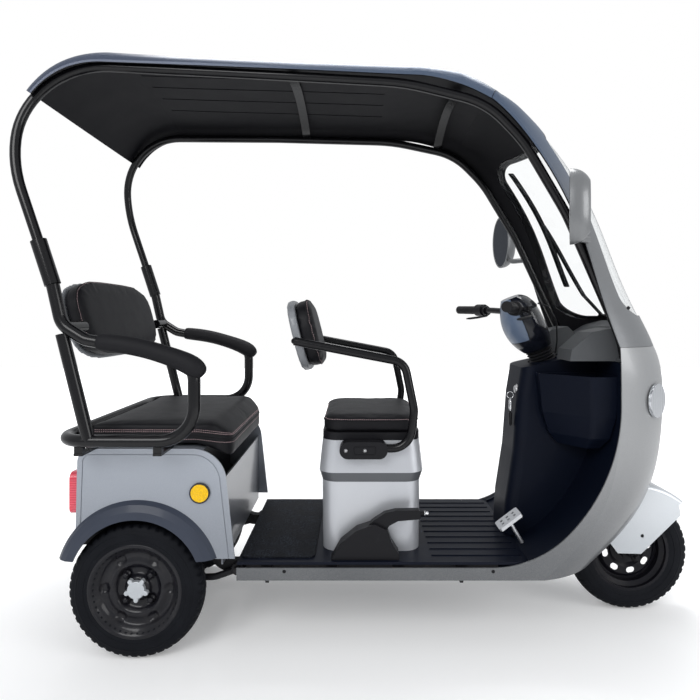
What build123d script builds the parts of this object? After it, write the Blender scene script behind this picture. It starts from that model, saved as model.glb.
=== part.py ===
"""Electric passenger auto rickshaw: one front wheel, two rear wheels, a roof on tube hoops.

Frame: +X forward, +Y left, +Z up, millimetres. The origin is on the ground, below the middle
of the vehicle's length and width. Everything is mirrored in the XZ plane except the wiper,
the brake pedal and the parking brake.
"""
from build123d import *
import os
from math import atan2, cos, degrees, hypot, radians, sin, sqrt

os.makedirs("parts", exist_ok=True)

# ---------------------------------------------------------------- driving dimensions
OVERALL_LENGTH = 2110
WHEELBASE = 1592
REAR_TRACK = 560
WHEEL_RADIUS = 200
TYRE_WIDTH = 76
RIM_SEAT_RADIUS = 127
RIM_FLANGE_RADIUS = 140
STEERING_RAKE = 23.6          # degrees back from vertical
BODY_HALF_WIDTH = 295         # fairing and sills
NOSE_RADIUS = 301             # plan radius of the rounded nose
FLOOR_TOP = 277
FLOOR_WALL = 8
FLOOR_FRONT = 409             # where the tray's ramped front edge starts
FLOOR_RAMP = 21               # run of the ramp
SILL_BOTTOM = 225
ROOF_WALL = 3
LINING_WALL = 3
LINING_GAP = 0.3              # between an outer skin and its lining
SHELL_WALL = 5
REAR_BODY_HALF_WIDTH = 312
REAR_BODY_TOP = 620
BENCH_TUBE_RADIUS = 17.5
BENCH_HALF_SPACING = 399
HOOP_TUBE_RADIUS = 14
SEAT_BOX_REAR = -199
SEAT_BOX_FRONT = 121
CLEARANCE = 0.3               # between curved faces that only face each other
RUNNING_FIT = 0.05            # radial, shaft in hub

# ---------------------------------------------------------------- places worked out from them
FRONT_END = OVERALL_LENGTH / 2
REAR_END = -OVERALL_LENGTH / 2
FRONT_AXLE_X = FRONT_END - WHEEL_RADIUS
REAR_AXLE_X = FRONT_AXLE_X - WHEELBASE
WHEEL_Y = REAR_TRACK / 2
RIM_SEAT_GAP = 0.2
SIDES = {"left": 1, "right": -1}

rake = radians(STEERING_RAKE)
STEER = Plane(
    origin=(FRONT_AXLE_X, 0, WHEEL_RADIUS),
    x_dir=(cos(rake), 0, sin(rake)),
    z_dir=(-sin(rake), 0, cos(rake)),
)


def save(builder, name):
    """Label a finished piece and write it as its own STEP."""
    builder.part.label = name
    export_step(builder.part, f"parts/{name}.step")


def on_steering_axis(distance):
    """X and Z of the point on the steering axis this far above the front axle."""
    return FRONT_AXLE_X - distance * sin(rake), WHEEL_RADIUS + distance * cos(rake)


def side_plane(y, facing=1):
    """Plane of a side view at this Y: local x is X, local y is Z, normal is -Y (or +Y)."""
    return Plane(origin=(0, y, 0), x_dir=(facing, 0, 0), z_dir=(0, -facing, 0))


def tube(points, corner_radii, radius, bore=0):
    """A bent tube along straight runs joined by arcs."""
    with BuildPart() as bent:
        with BuildLine() as route:
            FilletPolyline(*points, radius=corner_radii)
        start = Plane(origin=route.line @ 0, z_dir=route.line % 0)
        with BuildSketch(start):
            Circle(radius)
            if bore:
                Circle(bore, mode=Mode.SUBTRACT)
        sweep()
    return bent.part


def straight_tube(start, end, radius):
    """A straight round bar between two points."""
    axis = Vector(*end) - Vector(*start)
    with BuildPart() as bar:
        with BuildSketch(Plane(origin=start, z_dir=axis)):
            Circle(radius)
        extrude(amount=axis.length)
    return bar.part


def flipped(points, side):
    """The same points on the other side of the vehicle when side is -1."""
    return [(x, side * y, z) for x, y, z in points]


# ---------------------------------------------------------------- wheels
TYRE_BEAD_HALF = 29
TYRE_SIDE_RADIUS = 165        # where the sidewall bulges most
TYRE_SHOULDER = (31, 191)     # half width and radius at the tread edge
RIM_WALL = 3.5
FLANGE_HALF = 33
WELL_RADIUS = 112
HUB_RADIUS = 30
AXLE_RADIUS = 8


def wheel_plane(x, y):
    """Section plane of a wheel: local x is across the tyre, local y is its radius."""
    return Plane(origin=(x, y, WHEEL_RADIUS), x_dir=(0, 1, 0), z_dir=(1, 0, 0))


def wheel_axis(x, y):
    return Axis((x, y, WHEEL_RADIUS), (0, 1, 0))


def build_tyre(x, y):
    bore = RIM_SEAT_RADIUS + RIM_SEAT_GAP
    neck = RIM_FLANGE_RADIUS + 1
    shoulder_y, shoulder_r = TYRE_SHOULDER
    with BuildPart() as tyre:
        with BuildSketch(wheel_plane(x, y)):
            with BuildLine():
                Polyline((-TYRE_BEAD_HALF, neck), (-TYRE_BEAD_HALF, bore),
                         (TYRE_BEAD_HALF, bore), (TYRE_BEAD_HALF, neck))
                ThreePointArc((TYRE_BEAD_HALF, neck), (TYRE_WIDTH / 2, TYRE_SIDE_RADIUS),
                              (shoulder_y, shoulder_r))
                ThreePointArc((shoulder_y, shoulder_r), (0, WHEEL_RADIUS),
                              (-shoulder_y, shoulder_r))
                ThreePointArc((-shoulder_y, shoulder_r), (-TYRE_WIDTH / 2, TYRE_SIDE_RADIUS),
                              (-TYRE_BEAD_HALF, neck))
            make_face()
        revolve(axis=wheel_axis(x, y))
    return tyre


def barrel_outline():
    """Rim barrel: two flanges, two bead seats and the drop centre."""
    seat, flange = RIM_SEAT_RADIUS, RIM_FLANGE_RADIUS
    half = TYRE_BEAD_HALF + CLEARANCE
    outer = [(-FLANGE_HALF, flange), (-half, flange), (-half, seat), (-18, seat),
             (-12, WELL_RADIUS), (12, WELL_RADIUS), (18, seat), (half, seat),
             (half, flange), (FLANGE_HALF, flange)]
    inner = [(FLANGE_HALF, seat - RIM_WALL), (20.5, seat - RIM_WALL),
             (14.5, WELL_RADIUS - RIM_WALL), (-14.5, WELL_RADIUS - RIM_WALL),
             (-20.5, seat - RIM_WALL), (-FLANGE_HALF, seat - RIM_WALL)]
    return outer + inner


def build_rim(x, y, disc, hub_ends, hole_radius, hole_count, hole_place):
    """Pressed steel wheel: barrel, dished disc with openings, and hub barrel with its bore.

    disc is a list of (across, radius) points along the disc's outboard face, from hub to barrel.
    """
    with BuildPart() as rim:
        with BuildSketch(wheel_plane(x, y)):
            Polygon(*barrel_outline(), align=None)
        revolve(axis=wheel_axis(x, y))
        back = [(across - RIM_WALL, r) for across, r in reversed(disc)]
        with BuildSketch(wheel_plane(x, y)):
            Polygon(*disc, *back, align=None)
        revolve(axis=wheel_axis(x, y))
        low, high = hub_ends
        with BuildSketch(wheel_plane(x, y)):
            Polygon((low, AXLE_RADIUS + RUNNING_FIT), (high, AXLE_RADIUS + RUNNING_FIT),
                    (high, HUB_RADIUS), (low, HUB_RADIUS), align=None)
        revolve(axis=wheel_axis(x, y))
        centre = Plane(origin=(x, y, WHEEL_RADIUS), x_dir=(1, 0, 0), z_dir=(0, -1, 0))
        with BuildSketch(centre.offset(-TYRE_WIDTH / 2)):
            with PolarLocations(radius=hole_place, count=hole_count, start_angle=11):
                SlotOverall(2.1 * hole_radius + 8, 2 * hole_radius, rotation=90)
        extrude(amount=TYRE_WIDTH, mode=Mode.SUBTRACT)
    return rim


FRONT_DISC = [(6, HUB_RADIUS - 1), (6, 52), (-2, 62), (-2, 88), (8, 100),
              (8, WELL_RADIUS - RIM_WALL + 1)]
front_tyre = build_tyre(FRONT_AXLE_X, 0)
save(front_tyre, "front_tyre")
front_rim = build_rim(FRONT_AXLE_X, 0, FRONT_DISC, (-40, 40), 10, 8, 75)
save(front_rim, "front_rim")

# Rear discs are dished inwards, with the wheel nuts at the bottom of the dish.
REAR_DISC = [(-4, HUB_RADIUS - 1), (-4, 66), (8, 80), (14, 92), (10, WELL_RADIUS - RIM_WALL + 1)]
for side_name, side in SIDES.items():
    tyre = build_tyre(REAR_AXLE_X, side * WHEEL_Y)
    save(tyre, f"rear_tyre_{side_name}")
    disc = [(side * across + (RIM_WALL if side < 0 else 0), r) for across, r in REAR_DISC]
    hub = (-36, 12) if side > 0 else (-12, 36)
    rim = build_rim(REAR_AXLE_X, side * WHEEL_Y, disc, hub, 7, 12, 88)
    save(rim, f"rear_rim_{side_name}")

    # Star-shaped cover pressed over the hub, outboard of the nuts.
    with BuildPart() as hub_cap:
        face = Plane(origin=(REAR_AXLE_X, side * (WHEEL_Y + 12), WHEEL_RADIUS),
                     x_dir=(side, 0, 0), z_dir=(0, side, 0))
        with BuildSketch(face):
            Circle(26)
            with PolarLocations(radius=26, count=5, start_angle=90):
                SlotOverall(22, 14)
        extrude(amount=14)
        fillet(hub_cap.faces().sort_by(Axis.Y)[-1 if side > 0 else 0].edges(), 3)
    save(hub_cap, f"hub_cap_{side_name}")

# ---------------------------------------------------------------- steering body
FORK_HALF_SPACING = 60
FORK_LEG_RADIUS = 14
FENDER_RADIUS = 245
FENDER_HALF_WIDTH = 82
FENDER_WALL = 3
CROWN_BOTTOM = 236
CROWN_TOP = 285
STEM_RADIUS = 16
STEM_TOP = 800
BAR_RADIUS = 11
HEAD_TUBE_LOW = 300
HEAD_TUBE_HIGH = 690

wheel_view = Plane(origin=(FRONT_AXLE_X, 0, WHEEL_RADIUS), x_dir=(1, 0, 0), z_dir=(0, -1, 0))

with BuildPart() as steering_fork:
    with BuildSketch(STEER.offset(CROWN_BOTTOM)):
        RectangleRounded(52, 2 * FORK_HALF_SPACING + 2 * FORK_LEG_RADIUS + 6, 12)
    extrude(amount=CROWN_TOP - CROWN_BOTTOM)
    with BuildSketch(wheel_view):
        Circle(FENDER_RADIUS)
    extrude(amount=FENDER_HALF_WIDTH + 20, both=True, mode=Mode.SUBTRACT)
    with BuildSketch(STEER.offset(-14)):
        with Locations((0, FORK_HALF_SPACING), (0, -FORK_HALF_SPACING)):
            Circle(FORK_LEG_RADIUS)
    extrude(amount=CROWN_TOP - 4 + 14)
    with BuildSketch(STEER.offset(CROWN_TOP - 1)):
        Circle(STEM_RADIUS)
    extrude(amount=STEM_TOP - CROWN_TOP)
    with BuildSketch(wheel_view):
        Circle(AXLE_RADIUS)
    extrude(amount=FORK_HALF_SPACING + FORK_LEG_RADIUS + 12, both=True)
    with BuildSketch(wheel_view.offset(FORK_HALF_SPACING + FORK_LEG_RADIUS - 1)):
        RegularPolygon(10, 6)
    extrude(amount=8)
    with BuildSketch(wheel_view.offset(-FORK_HALF_SPACING - FORK_LEG_RADIUS - 7)):
        RegularPolygon(10, 6)
    extrude(amount=8)
save(steering_fork, "steering_fork")

# Front mudguard: a round hood over the wheel with a deep skirt on each side.
FENDER_FRONT_ANGLE = 46
FENDER_REAR_ANGLE = 146
SKIRT_LOW = 13                # inner radius of the side plates
SKIRT = [(760, 256), (790, 216), (868, 214), (1000, 342), (995, 377)]


def fender_ring(inset, half_width):
    """Solid drum sector that the fender is hollowed from."""
    edge = 16 - inset
    radius = FENDER_RADIUS - inset
    section = Plane(origin=wheel_view.origin, x_dir=(0, 1, 0), z_dir=(1, 0, 0))
    with BuildPart() as ring:
        with BuildSketch(section):
            with BuildLine():
                Polyline((-half_width, radius - edge), (-half_width, SKIRT_LOW), (half_width, SKIRT_LOW),
                         (half_width, radius - edge))
                RadiusArc((half_width, radius - edge), (half_width - edge, radius), -edge)
                Line((half_width - edge, radius), (edge - half_width, radius))
                RadiusArc((edge - half_width, radius), (-half_width, radius - edge), -edge)
            make_face()
        revolve(axis=wheel_axis(FRONT_AXLE_X, 0))
    return ring.part


fender_outer = fender_ring(0, FENDER_HALF_WIDTH)
fender_inner = fender_ring(FENDER_WALL, FENDER_HALF_WIDTH - FENDER_WALL)
reach = 330
with BuildPart() as front_fender:
    add(fender_outer)
    add(fender_inner, mode=Mode.SUBTRACT)
    with BuildSketch(side_plane(0)):
        front_tip = (FRONT_AXLE_X + reach * cos(radians(FENDER_FRONT_ANGLE)),
                     WHEEL_RADIUS + reach * sin(radians(FENDER_FRONT_ANGLE)))
        rear_tip = (FRONT_AXLE_X + reach * cos(radians(FENDER_REAR_ANGLE)),
                    WHEEL_RADIUS + reach * sin(radians(FENDER_REAR_ANGLE)))
        Polygon(*SKIRT, front_tip, (FRONT_AXLE_X, 600), rear_tip, (672, 322), align=None)
    extrude(amount=FENDER_HALF_WIDTH + 1, both=True, mode=Mode.INTERSECT)
    with BuildSketch(side_plane(0)):
        with Locations((872, 274)):
            Circle(6)
    extrude(amount=FENDER_HALF_WIDTH + 1, both=True, mode=Mode.SUBTRACT)
    with BuildSketch(STEER.offset(FENDER_RADIUS - 60)):
        with Locations((0, FORK_HALF_SPACING), (0, -FORK_HALF_SPACING)):
            Circle(FORK_LEG_RADIUS + CLEARANCE)
    extrude(amount=100, mode=Mode.SUBTRACT)
save(front_fender, "front_fender")

# Handlebar head: a tall egg-shaped cowl on the stem, with the instrument face at the rear.
BAR_CENTRE = (497, 0, 1022)
GRIP_OUTER = (344, 358, 1036)
bar_points = [GRIP_OUTER, (430, 172, 1032), BAR_CENTRE]
bar_points = flipped(bar_points, -1) + list(reversed(bar_points))[1:]

with BuildPart() as handlebar:
    add(tube(bar_points, [60, 60, 60], BAR_RADIUS))
    with BuildSketch(STEER.offset(STEM_TOP)):
        Circle(STEM_RADIUS + 6)
    extrude(amount=62)
save(handlebar, "handlebar")

GRIP_RADIUS = 16
GRIP_LENGTH = 118
with BuildPart() as handlebar_grips:
    for side in SIDES.values():
        outer = Vector(GRIP_OUTER[0], side * GRIP_OUTER[1], GRIP_OUTER[2])
        bend = Vector(430, side * 172, 1032)
        inward = (bend - outer).normalized()
        with BuildSketch(Plane(origin=outer - inward * 5, z_dir=inward)):
            Circle(GRIP_RADIUS)
        extrude(amount=GRIP_LENGTH + 5)
        with BuildSketch(Plane(origin=outer, z_dir=inward)):
            Circle(BAR_RADIUS + RUNNING_FIT)
        extrude(amount=GRIP_LENGTH + 5, mode=Mode.SUBTRACT)
save(handlebar_grips, "handlebar_grips")

POD_RADIUS = 23
POD_LENGTH = 40
LEVER_REACH = 66
LEVER_RADIUS = 5
PERCH_RADIUS = 17
PERCH_LENGTH = 16
with BuildPart() as bar_controls:
    for side in SIDES.values():
        outer = Vector(GRIP_OUTER[0], side * GRIP_OUTER[1], GRIP_OUTER[2])
        bend = Vector(430, side * 172, 1032)
        inward = (bend - outer).normalized()
        ahead = Vector(-side * inward.Y, side * inward.X, 0).normalized()
        with BuildSketch(Plane(origin=outer + inward * (GRIP_LENGTH + 2), z_dir=inward)):
            Circle(POD_RADIUS)
        extrude(amount=POD_LENGTH)
        clamp_at = outer + inward * (GRIP_LENGTH + POD_LENGTH + 2)
        with BuildSketch(Plane(origin=clamp_at, z_dir=inward)):
            Circle(PERCH_RADIUS)
        extrude(amount=PERCH_LENGTH)
        pivot = clamp_at + inward * PERCH_LENGTH / 2 + ahead * 38
        add(straight_tube(tuple(clamp_at + inward * PERCH_LENGTH / 2), tuple(pivot), 5.5))
        with BuildSketch(Plane.XY.offset(pivot.Z - 8)):
            with Locations((pivot.X, pivot.Y)):
                Circle(9)
        extrude(amount=16)
        knee = outer + inward * (GRIP_LENGTH * 0.8) + ahead * LEVER_REACH + Vector(0, 0, 8)
        tip = outer + inward * 16 + ahead * LEVER_REACH + Vector(0, 0, 14)
        add(tube([tuple(pivot), tuple(knee), tuple(tip)], [40], LEVER_RADIUS))
        with BuildSketch(Plane(origin=outer + inward * GRIP_LENGTH, z_dir=inward)):
            Circle(BAR_RADIUS + RUNNING_FIT)
        extrude(amount=POD_LENGTH + PERCH_LENGTH + 6, mode=Mode.SUBTRACT)
save(bar_controls, "bar_controls")

# Cowl: lofted egg, sections square to the steering axis. Columns: distance up the axis,
# fore-aft length, width, shift along the section's fore-aft direction.
COWL_SECTIONS = [
    (764, 98, 100, -2),
    (792, 122, 136, -8),
    (838, 138, 174, -14),
    (886, 134, 180, -15),
    (930, 110, 158, -13),
    (962, 64, 108, -20),
]
FACE_SPLIT = -36              # fore-aft place of the seam with the instrument face
FACE_LOW = 812
FACE_SEAM = 2
with BuildPart() as head_cowl:
    for distance, length, width, shift in COWL_SECTIONS:
        with BuildSketch(STEER.offset(distance)):
            with Locations((shift, 0)):
                Ellipse(length / 2, width / 2)
    loft()
cowl_solid = head_cowl.part
with BuildPart() as face_zone:
    with BuildSketch(STEER.offset(FACE_LOW)):
        with Locations((FACE_SPLIT - 100, 0)):
            Rectangle(200, 300)
    extrude(amount=200)
with BuildPart() as face_room:
    with BuildSketch(STEER.offset(FACE_LOW - FACE_SEAM)):
        with Locations((FACE_SPLIT + FACE_SEAM - 100, 0)):
            Rectangle(200, 300)
    extrude(amount=210)
with BuildPart() as instrument_panel:
    add(cowl_solid)
    add(face_zone.part, mode=Mode.INTERSECT)
    add(tube(bar_points, [60, 60, 60], BAR_RADIUS + CLEARANCE), mode=Mode.SUBTRACT)
save(instrument_panel, "instrument_panel")
with BuildPart() as head_cowl:
    add(cowl_solid)
    add(face_room.part, mode=Mode.SUBTRACT)
    with BuildSketch(STEER.offset(700)):
        Circle(STEM_RADIUS + 6)
    extrude(amount=STEM_TOP + 62 - 700, mode=Mode.SUBTRACT)
    add(tube(bar_points, [60, 60, 60], BAR_RADIUS), mode=Mode.SUBTRACT)
save(head_cowl, "head_cowl")

# Ribbed rubber boot between the cowl and the column cover, turning with the stem.
BELLOWS_LOW = 712
BELLOWS_PITCH = 10
BELLOWS_FOLDS = 5
with BuildPart() as column_bellows:
    with BuildSketch(Plane(origin=STEER.origin, x_dir=STEER.x_dir, z_dir=(0, -1, 0))):
        points = [(STEM_RADIUS + RUNNING_FIT, BELLOWS_LOW)]
        for fold in range(BELLOWS_FOLDS):
            low = BELLOWS_LOW + fold * BELLOWS_PITCH
            points += [(40, low), (46, low + BELLOWS_PITCH / 2)]
        top = BELLOWS_LOW + BELLOWS_FOLDS * BELLOWS_PITCH
        points += [(40, top), (STEM_RADIUS + RUNNING_FIT, top)]
        Polygon(*points, align=None)
    revolve(axis=Axis(STEER.origin, STEER.z_dir))
save(column_bellows, "column_bellows")

# Brake cables: from each lever's pivot down in front of the cowl into the rubber boot.
CABLE_RADIUS = 2.6
CABLE_POINTS = [(486, 196, 1050), (530, 158, 1042), (574, 112, 990), (592, 66, 924), (589, 57, 886)]
with BuildPart() as brake_cables:
    for side in SIDES.values():
        add(tube(flipped(CABLE_POINTS, side), [44, 40, 40], CABLE_RADIUS))
    add(cowl_solid, mode=Mode.SUBTRACT)
save(brake_cables, "brake_cables")

# ---------------------------------------------------------------- door line and front shell
TRIM_X = 702                  # upright rear edge of the fairing
TRIM_CORNER_Z = 515           # where the upright would meet the sloping run
TRIM_FLOOR_X = 449            # where the sloping run would meet the sill top
SILL_TOP = 262
TRIM_UPPER_RADIUS = 540
TRIM_LOWER_RADIUS = 320
FAIRING_TOP = 915
SILL_REAR = -442
HALF_TURN = 0.4142            # tangent of half of 45 degrees


def trim_corners(shift, top=FAIRING_TOP, rear=SILL_REAR):
    """Corner points of the door line, moved forward and down by shift."""
    return [
        (TRIM_X + shift, top),
        (TRIM_X + shift, TRIM_CORNER_Z - HALF_TURN * shift),
        (TRIM_FLOOR_X + HALF_TURN * shift, SILL_TOP - shift),
        (rear, SILL_TOP - shift),
    ]


def trim_radii(shift):
    return [TRIM_UPPER_RADIUS + shift, TRIM_LOWER_RADIUS + shift]


# Columns: height, nose centre X. The nose is an arc of NOSE_RADIUS in plan at every height.
NOSE_TABLE = [(SILL_BOTTOM, 713), (310, 800), (420, 880), (560, 927), (740, 943),
              (FAIRING_TOP, 912)]


def nose_solid(inset, rear, low_extra=0, high_extra=0):
    """Solid nose, lofted through level sections, its walls moved in by inset."""
    half = BODY_HALF_WIDTH - inset
    with BuildPart() as nose:
        for index, (height, tip) in enumerate(NOSE_TABLE):
            level = height
            if index == 0:
                level -= low_extra
            if index == len(NOSE_TABLE) - 1:
                level += high_extra
            centre = tip - NOSE_RADIUS
            radius = NOSE_RADIUS - inset
            start = centre + sqrt(radius**2 - half**2)
            with BuildSketch(Plane.XY.offset(level)):
                with BuildLine():
                    Polyline((start, -half), (rear, -half), (rear, half), (start, half))
                    ThreePointArc((start, half), (centre + radius, 0), (start, -half))
                make_face()
        loft()
    return nose.part


def trim_region(shift, top, half_width):
    """Everything behind the door line, as a block to cut or keep."""
    with BuildPart() as region:
        with BuildSketch(side_plane(0)):
            with BuildLine():
                corners = trim_corners(shift, top=top, rear=SILL_REAR - 100)
                FilletPolyline(*corners, radius=trim_radii(shift))
                Polyline(corners[-1], (SILL_REAR - 100, top), corners[0])
            make_face()
        extrude(amount=half_width, both=True)
    return region.part


# Opening in the nose that the front wheel and its mudguard swing in.
ARCH_HALF_WIDTH = 186
ARCH_TOP = 505
ARCH_REAR = 500

nose_outer = nose_solid(0, SILL_REAR)
nose_inner = nose_solid(SHELL_WALL, SILL_REAR - 20, low_extra=5, high_extra=5)
door_region = trim_region(0, FAIRING_TOP + 50, BODY_HALF_WIDTH + 20)
with BuildPart() as front_fairing:
    add(nose_outer)
    add(nose_inner, mode=Mode.SUBTRACT)
    add(door_region, mode=Mode.SUBTRACT)
    with BuildSketch(Plane.YZ.offset(ARCH_REAR)):
        with BuildLine():
            Polyline((-ARCH_HALF_WIDTH, ARCH_TOP - 150), (-ARCH_HALF_WIDTH, SILL_BOTTOM - 20),
                     (ARCH_HALF_WIDTH, SILL_BOTTOM - 20), (ARCH_HALF_WIDTH, ARCH_TOP - 150))
            ThreePointArc((ARCH_HALF_WIDTH, ARCH_TOP - 150), (0, ARCH_TOP),
                          (-ARCH_HALF_WIDTH, ARCH_TOP - 150))
        make_face()
    extrude(amount=600, mode=Mode.SUBTRACT)
save(front_fairing, "front_fairing")

# Leg shield: the dark inner panel that follows the door line down to the floor.
SHIELD_SHIFT = 8
SHIELD_WALL = 4
SHIELD_HALF_WIDTH = 284
BORDER_WIDTH = 24
BORDER_LIFT = 6
SHIELD_TOP = 868
SHIELD_FLOOR_END = 345
SLOT_HALF_WIDTH = 74

with BuildPart() as leg_shield:
    with BuildSketch(side_plane(0)):
        with BuildLine():
            front_run = trim_corners(SHIELD_SHIFT + SHIELD_WALL, SHIELD_TOP, SHIELD_FLOOR_END - 300)
            rear_run = trim_corners(SHIELD_SHIFT, SHIELD_TOP, SHIELD_FLOOR_END - 300)
            FilletPolyline(*front_run, radius=trim_radii(SHIELD_SHIFT + SHIELD_WALL))
            FilletPolyline(*rear_run, radius=trim_radii(SHIELD_SHIFT))
            Line(front_run[0], rear_run[0])
            Line(front_run[-1], rear_run[-1])
        make_face()
    extrude(amount=SHIELD_HALF_WIDTH, both=True)
    for side in SIDES.values():
        with BuildSketch(side_plane(side * SHIELD_HALF_WIDTH)):
            with BuildLine():
                border = [trim_corners(lift, SHIELD_TOP, SHIELD_FLOOR_END - 300)
                          for lift in (SHIELD_SHIFT - BORDER_LIFT, SHIELD_SHIFT + 1)]
                FilletPolyline(*border[0], radius=trim_radii(SHIELD_SHIFT - BORDER_LIFT))
                FilletPolyline(*border[1], radius=trim_radii(SHIELD_SHIFT + 1))
                Line(border[0][0], border[1][0])
                Line(border[0][-1], border[1][-1])
            make_face()
        extrude(amount=side * BORDER_WIDTH)
    with BuildSketch(Plane.YZ.offset(SHIELD_FLOOR_END + 60)):
        Polygon((-SLOT_HALF_WIDTH, 330), (SLOT_HALF_WIDTH, 330), (SLOT_HALF_WIDTH, 1000),
                (-SLOT_HALF_WIDTH, 1000), align=None)
    extrude(amount=600, mode=Mode.SUBTRACT)
    with BuildSketch(Plane.XY.offset(100)):
        with Locations((SHIELD_FLOOR_END - 500, 0)):
            Rectangle(1000, 800)
    extrude(amount=400, mode=Mode.SUBTRACT)
    with BuildSketch(side_plane(0)):
        Polygon((0, FLOOR_TOP - FLOOR_WALL - 0.3), (FLOOR_FRONT + 0.4, FLOOR_TOP - FLOOR_WALL - 0.3),
                (FLOOR_FRONT + FLOOR_RAMP + 0.5, FLOOR_TOP), (FLOOR_FRONT + FLOOR_RAMP + 0.5, 300),
                (0, 300), align=None)
    extrude(amount=SHIELD_HALF_WIDTH + 1, both=True, mode=Mode.SUBTRACT)
save(leg_shield, "leg_shield")

# Glove pockets: a bucket on each side of the column cover, open at the top.
# Columns: height, front X, outer Y, X where the outer face starts, rear X, Y of the rear corner.
POCKET_TABLE = [(824, 709.7, 259, 628, 507, 138), (700, 704, 254, 634, 520, 136),
                (632, 692, 238, 636, 543, 132), (596, 674, 206, 632, 572, 126)]
POCKET_INNER_Y = 106
POCKET_WALL = 3
column_limit = trim_region(SHIELD_SHIFT - CLEARANCE, 1000, BODY_HALF_WIDTH)
with BuildPart() as glove_pockets:
    for inset in (0, POCKET_WALL):
        for index, (height, front, outer_y, side_x, rear, rear_y) in enumerate(POCKET_TABLE):
            level = height
            if inset and index == 0:
                level += 1
            if inset and index == len(POCKET_TABLE) - 1:
                level += inset
            with BuildSketch(Plane.XY.offset(level)) as plan:
                inner_y = POCKET_INNER_Y + inset
                Polygon((front - inset, outer_y - inset), (side_x + inset, outer_y - inset),
                        (rear + 1.5 * inset, rear_y - inset / 2), (rear + 1.5 * inset, inner_y),
                        (front - inset, inner_y), align=None)
                fillet(plan.vertices().sort_by(Axis.X)[2:3], 24 - inset)
        loft(ruled=True, mode=Mode.ADD if inset == 0 else Mode.SUBTRACT)
    mirror(about=Plane.XZ)
    add(column_limit, mode=Mode.INTERSECT)
save(glove_pockets, "glove_pockets")

# Column cover: rounded tunnel from the floor to the handlebar boot.
# Columns: height, X of the rear face, half width.
COLUMN_TABLE = [(272, 409, 98), (392, 416, 98), (556, 441, 98), (743, 455, 98), (822, 468, 98),
                (900, 478, 98)]
COLUMN_LOW = 281
COLUMN_CORNER = 36
COLUMN_TOP = [(440, 828), (486, 842), (600, 868), (760, 868)]
COLUMN_WALL = 4


def column_solid(inset):
    with BuildPart() as column:
        for height, rear, half in COLUMN_TABLE:
            back, side, corner = rear + inset, half - inset, COLUMN_CORNER - inset
            middle = corner * (1 - sin(radians(45)))
            with BuildSketch(Plane.XY.offset(height)):
                with BuildLine():
                    Polyline((back + corner, -side), (TRIM_X + 40, -side), (TRIM_X + 40, side),
                             (back + corner, side))
                    ThreePointArc((back + corner, side), (back + middle, side - middle),
                                  (back, side - corner))
                    Line((back, side - corner), (back, corner - side))
                    ThreePointArc((back, corner - side), (back + middle, middle - side),
                                  (back + corner, -side))
                make_face()
        loft(ruled=True)
        with BuildSketch(side_plane(0)):
            top = [(x, z - inset) for x, z in COLUMN_TOP]
            Polygon(*top, (760, 920), (440, 920), align=None)
        extrude(amount=120, both=True, mode=Mode.SUBTRACT)
        if inset == 0:
            with Locations((560, 0, COLUMN_LOW - 50)):
                Box(500, 300, 100, mode=Mode.SUBTRACT)
    return column.part


column_outer = column_solid(0)
column_inner = column_solid(COLUMN_WALL)
with BuildPart() as column_cover:
    add(column_outer)
    add(column_inner, mode=Mode.SUBTRACT)
    add(column_limit, mode=Mode.INTERSECT)
    with BuildSketch(STEER.offset(BELLOWS_LOW - 60)):
        Circle(52)
    extrude(amount=120, mode=Mode.SUBTRACT)
save(column_cover, "column_cover")

# ---------------------------------------------------------------- windscreen frame and roof
# Arched sections. Columns: X and Z of the door edge, X and Z of the outer centre line, half width,
# straight part of each side, half width of the crown arc, fall of the crown arc at its ends.
# The frame turns from level at the fairing to upright at the roof.
FRAME_TABLE = [
    (700, 916, 911, 916, 287, 2, 150, 39),
    (652, 1049, 837, 1071, 288, 4, 150, 38),
    (610, 1183, 772, 1230, 290, 5, 152, 39),
    (561, 1315, 705, 1388, 292, 6, 158, 41),
    (496, 1439, 612, 1533, 295, 6, 172, 43),
    (415, 1555, 490, 1655, 298, 7, 205, 40),
    (316, 1655, 345, 1741, 300, 10, 258, 30),
]
ROOF_SEAM_GAP = 2
ROOF_FALL = [
    (316 - ROOF_SEAM_GAP, 1655, 345 - ROOF_SEAM_GAP, 1741, 300, 10, 258, 30),
    (192, 1704, 206, 1761, 306, 9, 266, 22),
    (60, 1720, 62, 1771, 312, 8, 274, 17),
]
ROOF_WAY = [
    ROOF_FALL[-1],
    (-250, 1729, -250, 1782, 325, 7, 287, 18),
    (-620, 1735, -620, 1792, 344, 7, 307, 20),
]
ROOF_BEND_CENTRE = (-806, 1514)
ROOF_BEND_RADIUS = 222        # to the edge of the flange
# Columns: angle round the bend from level, rise, then half width, straight part and crown as above.
ROOF_BEND = [(90, 62, 358, 6, 322, 21), (61, 55, 378, 6, 344, 19), (32, 46, 395, 5, 364, 16)]
ROOF_REAR = []
for angle, rise, *shape in ROOF_BEND:
    out_x, out_z = -cos(radians(angle)), sin(radians(angle))
    edge = (ROOF_BEND_CENTRE[0] + ROOF_BEND_RADIUS * out_x,
            ROOF_BEND_CENTRE[1] + ROOF_BEND_RADIUS * out_z)
    nose = (edge[0] + rise * out_x, edge[1] + rise * out_z)
    ROOF_REAR.append((*edge, *nose, *shape))
ROOF_WAY.append(ROOF_REAR[0])


def draw_arch(half, straight, rise, crown_half, fall, turn):
    """Draw one arch from its left foot to its right foot."""
    radius = (crown_half**2 + fall**2) / (2 * fall)
    end = (crown_half, turn * (rise - fall))
    slope = (radius - fall, -turn * crown_half)
    side_top = (half, turn * straight)
    Line((-half, 0), (-half, turn * straight))
    TangentArc((-end[0], end[1]), (-half, turn * straight), tangent=(-slope[0], slope[1]))
    ThreePointArc((-end[0], end[1]), (0, turn * rise), end)
    TangentArc(end, side_top, tangent=slope)
    Line(side_top, (half, 0))


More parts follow.
